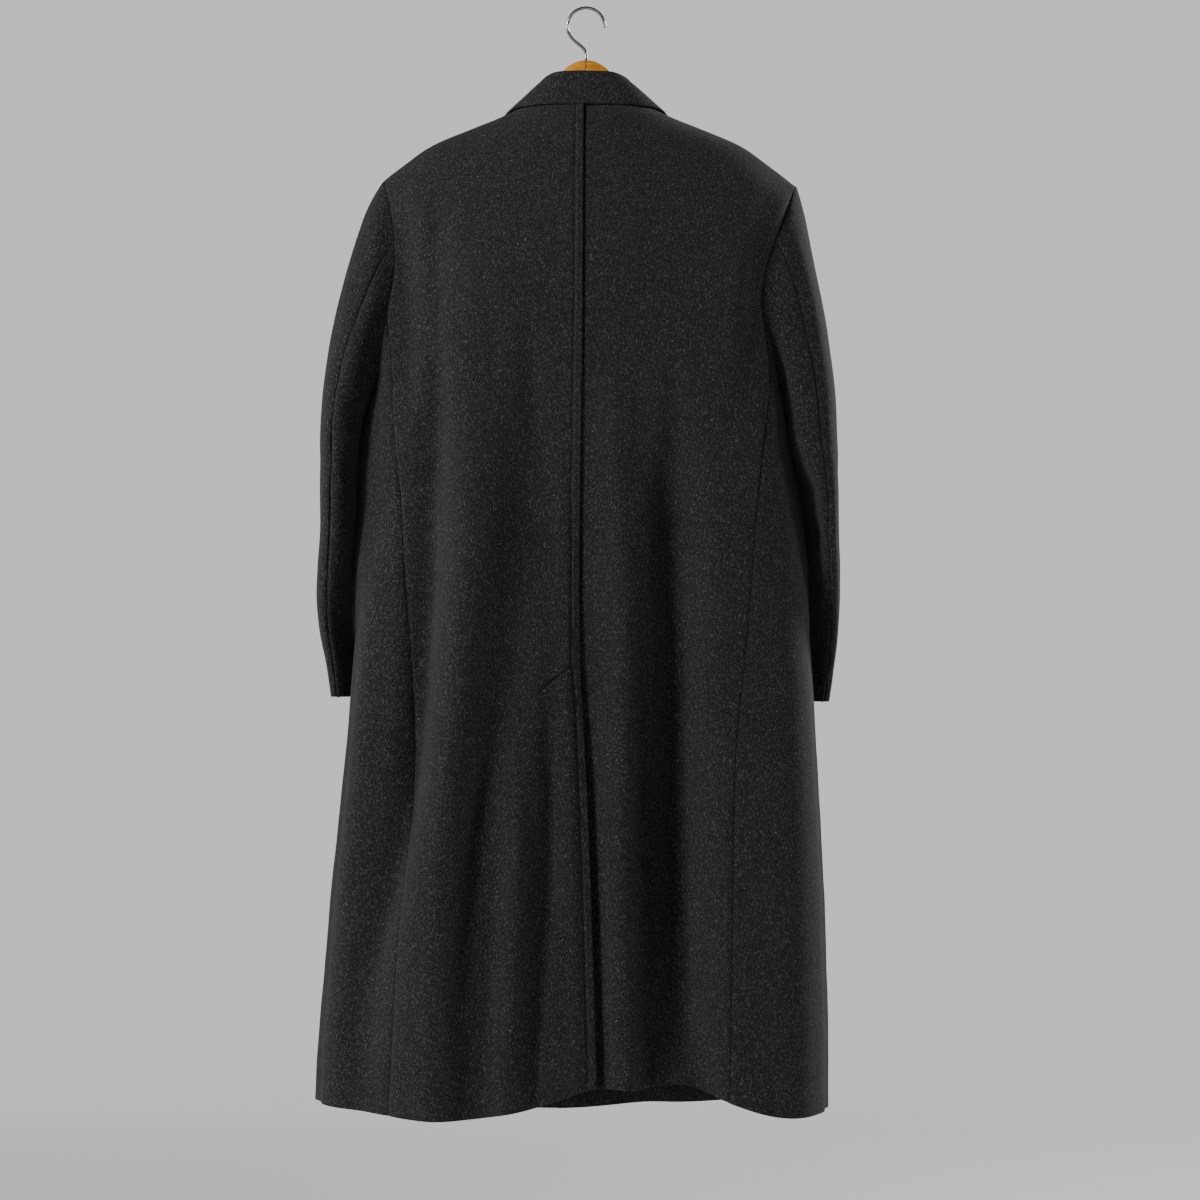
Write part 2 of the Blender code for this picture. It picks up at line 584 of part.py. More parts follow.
def sleeve(side, side_columns, head_rows=7, arm_rows=8):
    sign = 1 if side == "left" else -1
    points, normals, backs, unders = armhole(side, side_columns)
    count = len(points)
    back_seam, front_seam = 5, backs + unders + 1
    under = backs + unders // 2
    turn = np.radians(sleeve_angles(points, back_seam, under, front_seam))
    along = unit(np.roll(points, -1, 0) - np.roll(points, 1, 0))
    away = unit(np.cross(normals, along))
    away *= 1 if away[0, 0] * sign > 0 else -1
    table = SLEEVE[side]

    def oval(z):
        edge, mid_y, wide, deep, twist = (through(table[:, 0], table[:, k], z)
                                          for k in range(1, 6))
        square = 1 + 0.05 * np.sin(2 * turn) ** 2
        u = wide * np.cos(turn) * square
        w = deep * np.sin(turn) * square
        tilt = np.radians(twist)
        reach_out = np.hypot(wide * np.cos(tilt), deep * np.sin(tilt))
        x = edge - reach_out + u * np.cos(tilt) + w * np.sin(tilt)
        y = mid_y + w * np.cos(tilt) - u * np.sin(tilt)
        return np.stack((sign * x, y, np.full_like(x, z)), -1)

    start = points + away * SEAM
    first = oval(table[:, 0].max())
    c, s = np.cos(turn), np.sin(turn)
    head = HEAD_LEAN[side]
    lean = unit(np.stack((sign * ((0.90 + head) / 2 - (0.90 - head) / 2 * c), 0.22 * s,
                          -(0.58 + 0.20 * c)), -1))
    reach = 0.108 + 0.082 * c
    leave = lean * reach[:, None]
    arrive = np.stack((0 * c, 0 * c, -(0.165 + 0.105 * c)), -1)
    rings = []
    for t in np.arange(head_rows) / head_rows:
        rings.append(start * (1 + 2 * t) * (1 - t) ** 2 + leave * t * (1 - t) ** 2
                     + first * t * t * (3 - 2 * t) + arrive * t * t * (t - 1))
    for z in np.linspace(table[:, 0].max(), table[:, 0].min(), arm_rows + 1):
        rings.append(oval(z))
    outer = np.stack(rings, 1)
    around = np.roll(outer, -1, 0) - np.roll(outer, 1, 0)
    down = np.gradient(outer, axis=1)
    out = unit(np.cross(around, down))
    middle = outer.mean(0, keepdims=True)
    flip = np.where((out[:, -1] * (outer - middle)[:, -1]).sum(-1).mean() < 0, -1, 1)
    out = out * flip
    lift = np.clip(away[:, 2], 0, 1)[:, None] ** 1.5
    out[:, 0] = unit(normals * (1 - lift) - away * lift)
    out[:, 1] = unit(out[:, 1] + 0.5 * out[:, 0])
    inner = outer - CLOTH * out
    order_upper = [k % count for k in range(front_seam, count + back_seam + 1)]
    order_under = list(range(back_seam, front_seam + 1))
    for part, order in (("upper", order_upper), ("under", order_under)):
        o, i = outer[order].copy(), inner[order].copy()
        draw_in(o, i, ("first", "column"), SEAM / 2)
        draw_in(o, i, ("last", "column"), SEAM / 2)
        add_wall("sleeve_" + part + "_" + side, o, i, "wool")


# ------------------------------------------------------------ collar and lapels
def over_shoulder(x, tilt):
    """Body point and normal at a place across and an angle over the shoulder in degrees."""
    level = 1 - np.abs(tilt) / 90
    z = table_z(level)
    back = np.asarray(tilt) >= 0
    angle = np.where(back, angle_at(x, z, True), angle_at(x, z, False))
    return body(angle, level), slope_normal(body, angle, level)


def add_collar(half_stations=13):
    q = np.linspace(-1, 1, 2 * half_stations + 1)
    get = [through(COLLAR[:, 0], COLLAR[:, k], np.abs(q)) for k in range(1, 8)]
    side = np.where(q >= 0, 1.0, -1.0)
    top = np.stack((get[0] * side + 0.002 * (1 - ease(np.abs(q) / 0.6)), get[1], get[2]), -1)
    leaf, leaf_out = over_shoulder(get[3] * side, get[4])
    foot, _ = over_shoulder(get[5] * side, get[6])
    turn_radius = CLOTH / 2 + 0.0012
    roll = top - np.array((0, 0, turn_radius + CLOTH / 2))
    leaf = leaf + leaf_out * (CLOTH / 2 + 0.0010)
    spread = unit((leaf - foot) * (1, 1, 0) + (roll * (1, 1, 0)) * 0.001)
    up = np.array((0.0, 0.0, 1.0)) * np.ones_like(roll)
    outside = roll + spread * turn_radius
    inside = roll - spread * turn_radius
    bulge = spread * 0.6 + up * 0.8
    rows = [leaf,
            leaf * 0.72 + outside * 0.28 + bulge * 0.0006,
            leaf * 0.40 + outside * 0.60 + bulge * 0.0012,
            leaf * 0.14 + outside * 0.86 + bulge * 0.0009,
            outside,
            roll + unit(spread + up) * turn_radius,
            roll + unit(-spread + up) * turn_radius,
            inside,
            inside * 0.5 + foot * 0.5,
            foot]
    middle = np.stack(rows, 1)
    along = np.gradient(middle, axis=1)
    across = np.gradient(middle, axis=0)
    out = unit(np.cross(along, across))
    if (out[half_stations, 0] * (0, 1, 0)).sum() < 0:
        out = -out
    add_wall("collar", middle + out * CLOTH / 2, middle - out * CLOTH / 2, "wool")


def add_lapel(side, stations=10, flats=5):
    sign = 1 if side == "left" else -1
    q = np.linspace(0, 1, stations + 1)
    roll_z = through(LAPEL[:, 0], LAPEL[:, 1], q)
    edge_x = through(LAPEL[:, 0], LAPEL[:, 2], q)
    edge_z = through(LAPEL[:, 0], LAPEL[:, 3], q)
    roll_x = through(FRONT_EDGE[:, 0], FRONT_EDGE[:, 1], roll_z)

    def on_front(x, z):
        level = np.arcsin(np.clip((z - CHEST_Z) / (ridge_z(x) - CHEST_Z), 0, 1)) * 2 / pi
        angle = angle_at(x, table_z(level), False)
        lifted = front_left_lift if side == "left" else front_right_lift

        def surface(a, b):
            return body(a, b, lifted)
        return surface(angle, level), slope_normal(surface, angle, level)

    start, normal = on_front(sign * roll_x, roll_z)
    down = unit(np.gradient(start, axis=0))
    centreward = unit(np.cross(down, normal))
    centreward *= np.where(centreward[:, :1] * sign > 0, -1, 1)
    hold = 0.0009
    outer, inner = [], []
    for beta in np.radians((-55, -15, 20, 55)):
        way = centreward * np.cos(beta) + normal * np.sin(beta)
        pivot = start - normal * CLOTH / 2
        outer.append(pivot + way * (1.5 * CLOTH + hold))
        inner.append(pivot + way * (0.5 * CLOTH + hold))
    for m in np.linspace(0, 1, flats + 1):
        x = sign * (roll_x + (edge_x - roll_x) * m)
        z = roll_z + (edge_z - roll_z) * m
        here, up = on_front(x, z)
        outer.append(here + up * (CLOTH + hold))
        inner.append(here + up * hold)
    add_wall("lapel_" + side, np.stack(outer), np.stack(inner), "wool")


# -------------------------------------------------------------- buttons, hanger
def add_button(number, z):
    x = BUTTON_X
    level = z - CHEST_Z
    angle = angle_at(x, z, False)

    def surface(a, b):
        return body(a, b, front_left_lift)
    middle = surface(np.array(angle), np.array(level))
    normal = slope_normal(surface, np.array(angle), np.array(level))
    profile = ((0.0000, 0.0004), (0.0080, 0.0004), (0.0115, 0.0011), (0.0125, 0.0024),
               (0.0117, 0.0036), (0.0102, 0.0038), (0.0092, 0.0030), (0.0000, 0.0027))
    segments = 20
    across = unit(np.cross(normal, (0, 0, 1)))
    up = np.cross(across, normal)
    points, rings = [], []
    for radius, height in profile:
        ring = []
        if radius == 0:
            ring.append(len(points))
            points.append(middle + normal * (height + BUTTON_CLEAR))
        else:
            for k in range(segments):
                a = 2 * pi * k / segments
                ring.append(len(points))
                points.append(middle + normal * (height + BUTTON_CLEAR)
                              + (across * np.cos(a) + up * np.sin(a)) * radius)
        rings.append(ring)
    faces = []
    for one, two in zip(rings, rings[1:]):
        for k in range(segments):
            a, b = one[k % len(one)], one[(k + 1) % len(one)]
            c, d = two[(k + 1) % len(two)], two[k % len(two)]
            faces.append([a, b, c, d] if len({a, b, c, d}) == 4
                         else list(dict.fromkeys((a, b, c, d))))
    add_mesh("button_" + str(number), points, faces, "horn")


def add_arm(side, around=14):
    sign = 1 if side == "left" else -1
    points, faces = [], []
    for out, top, bottom, half in ARM:
        if ARM_REST < out < 0.215:
            tilt = (ridge_z(out + 0.002) - ridge_z(out - 0.002)) / 0.004
            top = float(ridge_z(out) - (CLOTH + ARM_CLEAR) * np.hypot(1, tilt))
        for k in range(around):
            a = 2 * pi * k / around
            y = half * np.sin(a) * (1 + 0.06 * np.sin(2 * a) ** 2)
            z = (top + bottom) / 2 + (top - bottom) / 2 * np.cos(a)
            points.append((sign * out, float(ridge_y(out)) + y, z))
    for i in range(len(ARM) - 1):
        for k in range(around):
            n = (k + 1) % around
            faces.append((i * around + k, i * around + n,
                          (i + 1) * around + n, (i + 1) * around + k))
    faces.append(tuple(range(around)))
    faces.append(tuple((len(ARM) - 1) * around + k for k in range(around)))
    return add_mesh("hanger_" + side, points, faces, "wood")


def add_hook():
    top = WIRE
    radius = HOOK_RADIUS
    centre = top - radius
    path = [(0.0, -0.0595), (0.0, -0.0540), (0.0006, -0.0500), (0.0034, -0.0458),
            (0.0080, -0.0418), (0.0130, -0.0378)]
    for a in np.radians(np.arange(-40, 196, 14)):
        path.append((radius * np.cos(a), centre + radius * np.sin(a)))
    curve = bpy.data.curves.new("hook", "CURVE")
    curve.dimensions = "3D"
    curve.bevel_depth = WIRE
    curve.bevel_resolution = 2
    curve.use_fill_caps = True
    spline = curve.splines.new("POLY")
    spline.points.add(len(path) - 1)
    for point, (x, z) in zip(spline.points, path):
        point.co = (x, 0.0, z, 1.0)
    curve.materials.append(MATERIALS["steel"])
    hook = bpy.data.objects.new("hook", curve)
    COAT.objects.link(hook)


# ----------------------------------------------------------------------- build
for old in list(bpy.data.objects):
    bpy.data.objects.remove(old, do_unlink=True)
COAT = bpy.data.collections.new("wool_overcoat")
bpy.context.scene.collection.children.link(COAT)
MATERIALS = {name: make_material(name) for name in COLOURS}

panel("back_left",
      lambda v: angle_at(back_edge(table_z(v), 1), table_z(v)),
      lambda v: side_seam_angle("left", "back", v),
      BACK_HEM, 15, back_left_lift, neck=True)
panel("back_right",
      lambda v: angle_at(back_edge(table_z(v), 1) + back_edge(table_z(v), 2), table_z(v)),
      lambda v: side_seam_angle("right", "back", v),
      BACK_HEM, 18, back_right_lift, neck=True, lap=-0.010)
for which in ("left", "right"):
    side_panel(which, 8)
    panel("front_" + which, front_edge_angle(which),
          lambda v, w=which: side_seam_angle(w, "front", v),
          FRONT_HEM, 12, front_left_lift if which == "left" else front_right_lift)
    sleeve(which, 8)
    add_lapel(which)
    add_arm(which)
add_collar()
for index, height in enumerate(BUTTON_HEIGHTS):
    add_button(index + 1, height)
add_hook()
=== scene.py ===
"""A charcoal wool overcoat on a contoured wooden hanger, dressed over its solid parts."""
import math
from collections import namedtuple

import bmesh
import bpy
import numpy as np
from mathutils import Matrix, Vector, kdtree, noise
from mathutils.bvhtree import BVHTree


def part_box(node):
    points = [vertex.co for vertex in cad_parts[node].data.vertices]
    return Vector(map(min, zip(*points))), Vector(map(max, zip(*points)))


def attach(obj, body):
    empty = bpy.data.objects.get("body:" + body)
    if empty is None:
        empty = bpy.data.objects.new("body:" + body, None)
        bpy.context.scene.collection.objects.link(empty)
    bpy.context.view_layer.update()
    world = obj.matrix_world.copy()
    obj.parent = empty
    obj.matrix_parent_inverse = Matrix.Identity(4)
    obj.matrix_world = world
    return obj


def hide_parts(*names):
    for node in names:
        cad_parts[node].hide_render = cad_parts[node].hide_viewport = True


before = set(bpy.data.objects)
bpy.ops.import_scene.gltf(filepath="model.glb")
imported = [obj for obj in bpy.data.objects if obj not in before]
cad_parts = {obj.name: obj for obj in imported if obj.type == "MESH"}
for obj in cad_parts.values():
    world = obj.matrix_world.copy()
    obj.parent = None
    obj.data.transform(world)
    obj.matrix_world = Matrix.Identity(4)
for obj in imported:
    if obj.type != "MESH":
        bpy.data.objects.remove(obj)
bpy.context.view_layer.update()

# ---- sizes, in metres ----
WELD = 1e-5                     # loose triangles of a solid are joined below this
EDGE_ROUND = 0.0013             # rounding of the cloth's edges
WOOD_ROUND = 0.0005             # and of the hanger's
SEAM_NEAR = 0.0012              # edges of two pieces closer than this are sewn together
RIM_STEP = 0.004                # points along a rim are at most about this far apart
SEAM_REACH = 0.0045             # edges this close after shaping are drawn together
SEAM_DIP, SEAM_WIDTH = 0.0020, 0.0030       # the cloth is drawn in beside a seam
ARMHOLE_SOFT = 0.022            # sleeve and body move together within about this of the armhole
STRIP_WIDTH, STRIP_RISE = 0.0098, 0.0011    # the stitched-down strip at the middle of the back
STRIP_EASE = 0.003              # width over which the strip's edge comes down
GROOVE_DEEP, GROOVE_WIDE = 0.0016, 0.0014   # the groove that its stitching draws in
TACK_DEEP = 0.0024              # the slanting row of stitches above the vent
STITCH_LONG, STITCH_STEP, STITCH_THICK = 0.0034, 0.0047, 0.00055
UNEVEN = ((0.0007, 11), (0.0003, 31))       # the cloth's light unevenness: height, how fine it is
FAR_AWAY = 9.0                  # stands for a point that is beside no line at all

# Lift of the cloth beside the strip, by height: it swells above the vent and falls away below
UNDER_STRIP = ((-1.34, -1.05, -0.90, -0.80, -0.70, -0.12),
               (-0.004, -0.005, -0.003, 0, 0.0017, 0.0023))
UNDER_STEP, UNDER_WIDE, UNDER_REACH = 0.0012, 0.016, 0.05   # its step, its width, and the dip's

# Finer rows of the mesh beside a line: how far they reach, and their spacing
STRIP_ROWS, TACK_ROWS, UNDER_ROWS = (0.004, 0.0012), (0.003, 0.0012), (0.005, 0.0014)

# How a solid's skin becomes a smooth shell
RIM_TURN = 0.85                 # a wall's edge turns by more than this, in radians
FLAT_TURN, SKEW_TURN = 0.75, 1.2    # two triangles make a quad below these
FIT_ROUNDS, FIT_SHARE = 4, 0.8  # the smooth surface is drawn back onto the solid's corners
LONG_RUNG = 1.6                 # a rim's edge this much longer than its neighbours runs along it

# The parts of a button
BUTTON_WIDE, BUTTON_THICK, BUTTON_ROUND = 0.0250, 0.0036, 0.00045
RIM_WIDE, SLOPE_WIDE, DISH_DEEP = 0.0024, 0.0016, 0.0011
FLOOR_INSET, FLOOR_DEEP = 0.0030, 0.0002
HOLE_APART, HOLE_WIDE = 0.0046, 0.0021
BUTTON_LIFT = 0.0005            # clearance between the button and the cloth
LOOP_THICK, LOOP_APART, LOOP_SHARE = 0.0009, 0.00045, 1.55  # the loops of thread through the holes
LOOP_HIGH, LOOP_LOW, LOOP_SUNK = 0.0004, 0.0001, 0.0008
SLIT_START, SLIT_END, SLIT_HALF = 0.002, 0.0265, 0.0016     # buttonhole, from the button's middle
SLIT_STITCH = (0.0013, 0.0011, 0.0022)      # its stitches: thickness, step and length

# Each cloth piece: how often its skin is divided, the flat cut (width, length), the share of that
# rectangle the cut fills, what carries it, and a point (x, y) inside the hollow that it wraps.
# The cut sizes are fitted to the finished cloth's own area. They don't come from a pattern.
Panel = namedtuple("Panel", "level flat share carriers heart")
PANELS = {
    "back_left": Panel(3, (0.292, 1.195), 0.87, ("collar", "hanger_left"), (0.05, 0.0)),
    "back_right": Panel(3, (0.330, 1.180), 0.77, ("collar", "hanger_right"), (-0.05, 0.0)),
    "side_left": Panel(3, (0.262, 0.955), 0.90, ("back_left", "front_left"), (0.1, 0.0)),
    "side_right": Panel(3, (0.276, 0.960), 0.90, ("back_right", "front_right"), (-0.1, 0.0)),
    "front_left": Panel(2, (0.292, 1.205), 0.84, ("hanger_left",), (0.05, 0.0)),
    "front_right": Panel(2, (0.292, 1.205), 0.79, ("hanger_right",), (-0.05, 0.0)),
    "sleeve_upper_left": Panel(3, (0.200, 0.640), 0.70, ("back_left", "front_left"),
                               (0.255, -0.045)),
    "sleeve_under_left": Panel(3, (0.162, 0.560), 0.81, ("side_left",), (0.275, -0.045)),
    "sleeve_upper_right": Panel(3, (0.200, 0.640), 0.70, ("back_right", "front_right"),
                                (-0.240, -0.045)),
    "sleeve_under_right": Panel(3, (0.162, 0.560), 0.81, ("side_right",), (-0.260, -0.045)),
    "collar": Panel(2, (0.470, 0.095), 0.50, ("back_left", "back_right"), (0.0, -0.02)),
    "lapel_left": Panel(2, (0.120, 0.275), 0.60, ("front_left",), (0.06, 0.0)),
    "lapel_right": Panel(2, (0.120, 0.275), 0.60, ("front_right",), (-0.06, 0.0)),
}

# The lapped edge down the middle of the back: height, x
CENTRE_EDGE = np.array((
    (-0.110, 0.0020), (-0.119, 0.0024), (-0.343, 0.0035), (-0.579, 0.0071), (-0.768, 0.0071),
    (-0.815, 0.0024), (-0.933, -0.0024), (-1.051, -0.0071), (-1.169, -0.0106), (-1.290, -0.0132)))
VENT_TACK = ((0.0165, -0.774), (0.0545, -0.803))    # slanting stitches at the head of the vent

# Sections of the body: height, half width to the left and right, depth to the back and front
BODY_SECTION = np.array((
    (-1.310, 0.322, 0.287, 0.135, 0.155), (-0.945, 0.292, 0.277, 0.122, 0.140),
    (-0.720, 0.271, 0.262, 0.115, 0.128), (-0.450, 0.248, 0.227, 0.118, 0.122),
    (-0.300, 0.248, 0.240, 0.118, 0.122), (-0.200, 0.250, 0.262, 0.118, 0.122)))

# Creases: the side they face, half width, and points (across, height, lift; a trough is below 0).
# They add up. Together they bring the back up to about 53 mm in from its solid.
BODY_CREASES = (
    # right half of the back
    ("back", 0.026, ((-0.090, -0.36, 0), (-0.108, -0.50, -0.015), (-0.116, -0.60, -0.026),
                     (-0.121, -0.80, -0.038), (-0.123, -1.02, -0.041), (-0.130, -1.20, -0.036),
                     (-0.150, -1.34, -0.026))),
    ("back", 0.020, ((-0.034, -0.42, 0), (-0.042, -0.60, 0.008), (-0.048, -0.82, 0.012),
                     (-0.050, -1.10, 0.012), (-0.064, -1.34, 0.009))),
    ("back", 0.015, ((-0.070, -0.44, 0), (-0.076, -0.60, 0.007), (-0.080, -0.80, 0.012),
                     (-0.080, -1.10, 0.011), (-0.090, -1.34, 0.006))),
    ("back", 0.044, ((-0.204, -0.44, 0), (-0.222, -0.62, 0.012), (-0.230, -0.90, 0.017),
                     (-0.234, -1.34, 0.017))),
    ("back", 0.030, ((-0.196, -0.17, 0), (-0.198, -0.26, 0.012), (-0.198, -0.38, 0.016),
                     (-0.206, -0.50, 0.008), (-0.208, -0.60, 0))),
    ("back", 0.014, ((-0.056, -0.36, 0), (-0.064, -0.44, -0.003), (-0.072, -0.54, -0.002),
                     (-0.080, -0.60, 0))),
    ("back", 0.016, ((-0.118, -0.40, 0), (-0.128, -0.52, 0.0025), (-0.132, -0.64, 0))),
    # the wide hollow below the waist
    ("back", 0.150, ((-0.080, -0.44, 0), (-0.086, -0.62, -0.018), (-0.090, -0.84, -0.030),
                     (-0.090, -1.34, -0.030))),
    # left half of the back
    ("back", 0.019, ((0.178, -0.44, 0), (0.181, -0.54, -0.014), (0.186, -0.66, -0.027),
                     (0.195, -0.80, -0.030), (0.211, -0.94, -0.025), (0.232, -1.05, -0.016),
                     (0.258, -1.15, -0.008), (0.268, -1.34, -0.001))),
    ("back", 0.026, ((0.126, -0.40, 0), (0.128, -0.60, 0.012), (0.140, -0.80, 0.016),
                     (0.154, -0.95, 0.014), (0.168, -1.12, 0.010), (0.174, -1.34, 0.008))),
    ("back", 0.016, ((0.246, -0.56, 0), (0.250, -0.70, 0.005), (0.262, -0.90, 0.006),
                     (0.286, -1.08, 0.004), (0.292, -1.34, 0.002))),
    ("back", 0.058, ((0.034, -0.36, 0), (0.028, -0.50, -0.011), (0.022, -0.66, -0.020),
                     (0.020, -0.80, -0.023), (0.024, -0.94, -0.019), (0.034, -1.10, -0.012),
                     (0.044, -1.34, -0.006))),
    ("back", 0.012, ((0.110, -0.80, 0), (0.122, -0.92, -0.006), (0.130, -1.02, -0.006),
                     (0.138, -1.12, -0.002), (0.140, -1.18, 0))),
    ("back", 0.012, ((0.100, -0.92, 0), (0.106, -1.02, -0.005), (0.112, -1.14, -0.006),
                     (0.116, -1.26, -0.002), (0.118, -1.32, 0))),
    ("back", 0.014, ((0.074, -0.88, 0), (0.080, -1.00, 0.006), (0.085, -1.14, 0.008),
                     (0.090, -1.34, 0.003))),
    ("back", 0.010, ((0.048, -0.78, 0), (0.040, -0.92, -0.007), (0.043, -1.06, -0.007),
                     (0.056, -1.22, -0.003), (0.062, -1.34, 0))),
    ("back", 0.011, ((0.028, -0.50, 0), (0.024, -0.66, 0.004), (0.018, -0.90, 0.005),
                     (0.010, -1.32, 0.003))),
    ("back", 0.016, ((0.184, -0.17, 0), (0.182, -0.24, -0.005), (0.178, -0.33, -0.009),
                     (0.174, -0.44, -0.010), (0.176, -0.54, -0.004), (0.180, -0.60, 0))),
    ("back", 0.018, ((0.230, -0.20, 0), (0.228, -0.27, -0.011), (0.222, -0.36, -0.016),
                     (0.216, -0.44, -0.010), (0.210, -0.50, 0))),
    ("back", 0.016, ((0.100, -0.34, 0), (0.108, -0.41, -0.003), (0.112, -0.50, 0))),
    ("back", 0.014, ((0.064, -0.34, 0), (0.066, -0.41, -0.005), (0.060, -0.50, -0.003),
                     (0.056, -0.56, 0))),
    # the front, plain and soft
    ("front", 0.026, ((0.110, -0.50, 0), (0.116, -0.74, -0.004), (0.122, -1.00, -0.007),
                      (0.128, -1.34, -0.008))),
    ("front", 0.020, ((0.170, -0.62, 0), (0.180, -0.86, 0.004), (0.186, -1.34, 0.006))),
    ("front", 0.018, ((0.226, -0.56, 0), (0.236, -0.84, -0.005), (0.250, -1.34, -0.005))),
    ("front", 0.024, ((-0.096, -0.54, 0), (-0.104, -0.80, -0.006), (-0.108, -1.34, -0.008))),
    ("front", 0.020, ((-0.156, -0.60, 0), (-0.164, -0.90, 0.005), (-0.168, -1.34, 0.006))),
    ("front", 0.016, ((-0.208, -0.58, 0), (-0.218, -0.90, -0.005), (-0.226, -1.34, -0.004))),
    ("front", 0.016, ((0.150, -0.20, 0), (0.160, -0.30, -0.004), (0.176, -0.42, 0))),
    ("front", 0.016, ((-0.156, -0.20, 0), (-0.164, -0.31, -0.004), (-0.172, -0.43, 0))),
    ("front", 0.012, ((0.020, -0.500, 0), (0.060, -0.520, -0.002), (0.110, -0.560, 0))),
    ("front", 0.012, ((0.018, -0.640, 0), (0.050, -0.668, -0.002), (0.086, -0.720, 0))),
    # hollows in the back beside the sleeves
    ("back", 0.020, ((0.250, -0.34, 0), (0.256, -0.42, -0.013), (0.258, -0.50, -0.018),
                     (0.258, -0.60, -0.016), (0.262, -0.68, -0.007), (0.264, -0.74, 0))),
    ("back", 0.018, ((-0.222, -0.36, 0), (-0.236, -0.44, -0.015), (-0.250, -0.54, -0.018),
                     (-0.258, -0.64, -0.010), (-0.262, -0.72, 0))),
    # the sides, and the swell beneath the arms where the sleeves lie against them
    ("left", 0.018, ((0.030, -0.66, 0), (0.026, -0.80, -0.005), (0.030, -1.34, -0.006))),
    ("right", 0.018, ((0.024, -0.70, 0), (0.018, -0.90, -0.005), (0.022, -1.34, -0.006))),
    ("left", 0.016, ((-0.060, -0.66, 0), (-0.066, -0.80, -0.004), (-0.070, -1.34, -0.005))),
    ("right", 0.016, ((-0.060, -0.70, 0), (-0.064, -0.84, -0.004), (-0.070, -1.34, -0.005))),
    ("left", 0.070, ((0.000, -0.38, 0), (0.000, -0.46, 0.010), (0.000, -0.52, 0.010),
                     (0.000, -0.58, 0.006), (0.000, -0.65, 0.007), (0.000, -0.69, 0.004),
                     (0.000, -0.73, 0))),
    ("right", 0.070, ((0.000, -0.38, 0), (0.000, -0.46, 0.009), (0.000, -0.52, 0.009),
                      (0.000, -0.57, 0.012), (0.000, -0.64, 0.009), (0.000, -0.68, 0.004),
                      (0.000, -0.74, 0))),
)
SLEEVE_CREASES = {
    "left": (
        ("right", 0.036, ((-0.040, -0.36, 0), (-0.044, -0.42, 0.007), (-0.044, -0.48, 0.007),
                          (-0.046, -0.56, 0.004), (-0.046, -0.64, 0))),
        ("back", 0.024, ((0.258, -0.28, 0), (0.264, -0.38, 0.009), (0.270, -0.50, 0.013),
                         (0.276, -0.60, 0.011), (0.282, -0.72, 0))),
        ("back", 0.012, ((0.262, -0.25, 0), (0.268, -0.33, -0.004), (0.276, -0.40, 0))),
        ("back", 0.010, ((0.294, -0.50, 0), (0.284, -0.54, -0.004), (0.272, -0.57, 0))),
        ("back", 0.009, ((0.296, -0.57, 0), (0.286, -0.60, -0.003), (0.272, -0.61, 0))),
        ("left", 0.016, ((-0.020, -0.24, 0), (-0.030, -0.36, -0.003), (-0.020, -0.46, 0))),
        ("left", 0.012, ((0.030, -0.52, 0), (-0.010, -0.56, -0.003), (-0.060, -0.57, 0))),
        ("left", 0.012, ((-0.080, -0.62, 0), (-0.050, -0.66, -0.003), (-0.010, -0.66, 0))),
        ("front", 0.012, ((0.262, -0.46, 0), (0.280, -0.50, -0.004), (0.300, -0.50, 0))),
        ("front", 0.012, ((0.262, -0.54, 0), (0.278, -0.56, -0.003), (0.302, -0.55, 0))),
    ),
    "right": (
        ("left", 0.036, ((-0.040, -0.38, 0), (-0.044, -0.45, 0.004), (-0.044, -0.52, 0.004),
                         (-0.046, -0.58, 0.003), (-0.046, -0.66, 0))),
        ("left", 0.030, ((0.036, -0.52, 0), (0.034, -0.58, -0.007), (0.024, -0.68, -0.006),
                         (0.010, -0.76, 0))),
        ("back", 0.024, ((-0.222, -0.30, 0), (-0.234, -0.40, 0.010), (-0.246, -0.50, 0.013),
                         (-0.258, -0.58, 0.009), (-0.264, -0.68, 0))),
        ("back", 0.010, ((-0.244, -0.26, 0), (-0.252, -0.34, -0.004), (-0.262, -0.42, 0))),
        ("back", 0.008, ((-0.250, -0.545, 0), (-0.266, -0.565, -0.005), (-0.288, -0.560, 0))),
        ("back", 0.010, ((-0.262, -0.60, 0), (-0.276, -0.62, -0.004), (-0.292, -0.61, 0))),
        ("right", 0.016, ((-0.010, -0.24, 0), (-0.024, -0.36, -0.003), (-0.016, -0.46, 0))),
        ("right", 0.012, ((0.030, -0.54, 0), (-0.010, -0.57, -0.004), (-0.056, -0.58, 0))),
        ("right", 0.012, ((-0.084, -0.64, 0), (-0.050, -0.68, -0.003), (-0.014, -0.67, 0))),
        ("front", 0.012, ((-0.246, -0.47, 0), (-0.262, -0.51, -0.004), (-0.284, -0.50, 0))),
        ("front", 0.012, ((-0.248, -0.55, 0), (-0.262, -0.57, -0.003), (-0.284, -0.56, 0))),
    ),
}


def across_at(table, z):
    rows = table[np.argsort(table[:, 0])]
    return np.interp(z, rows[:, 0], rows[:, 1])


def unit(ways):
    return ways / np.maximum(np.linalg.norm(ways, axis=1, keepdims=True), 1e-9)


def add_object(name, data):
    made = bpy.data.objects.new(name, data)
    bpy.context.scene.collection.objects.link(made)
    return made


def dress(obj, material):
    obj.data.materials.clear()
    obj.data.materials.append(material)


def deselect():
    bpy.ops.object.select_all(action="DESELECT")


def pick(obj):
    deselect()
    obj.select_set(True)
    bpy.context.view_layer.objects.active = obj


def finish_with(obj, name, kind, **settings):
    """Adds a modifier with these settings and applies it."""
    modifier = obj.modifiers.new(name, kind)
    for key, value in settings.items():
        setattr(modifier, key, value)
    pick(obj)
    bpy.ops.object.modifier_apply(modifier=name)


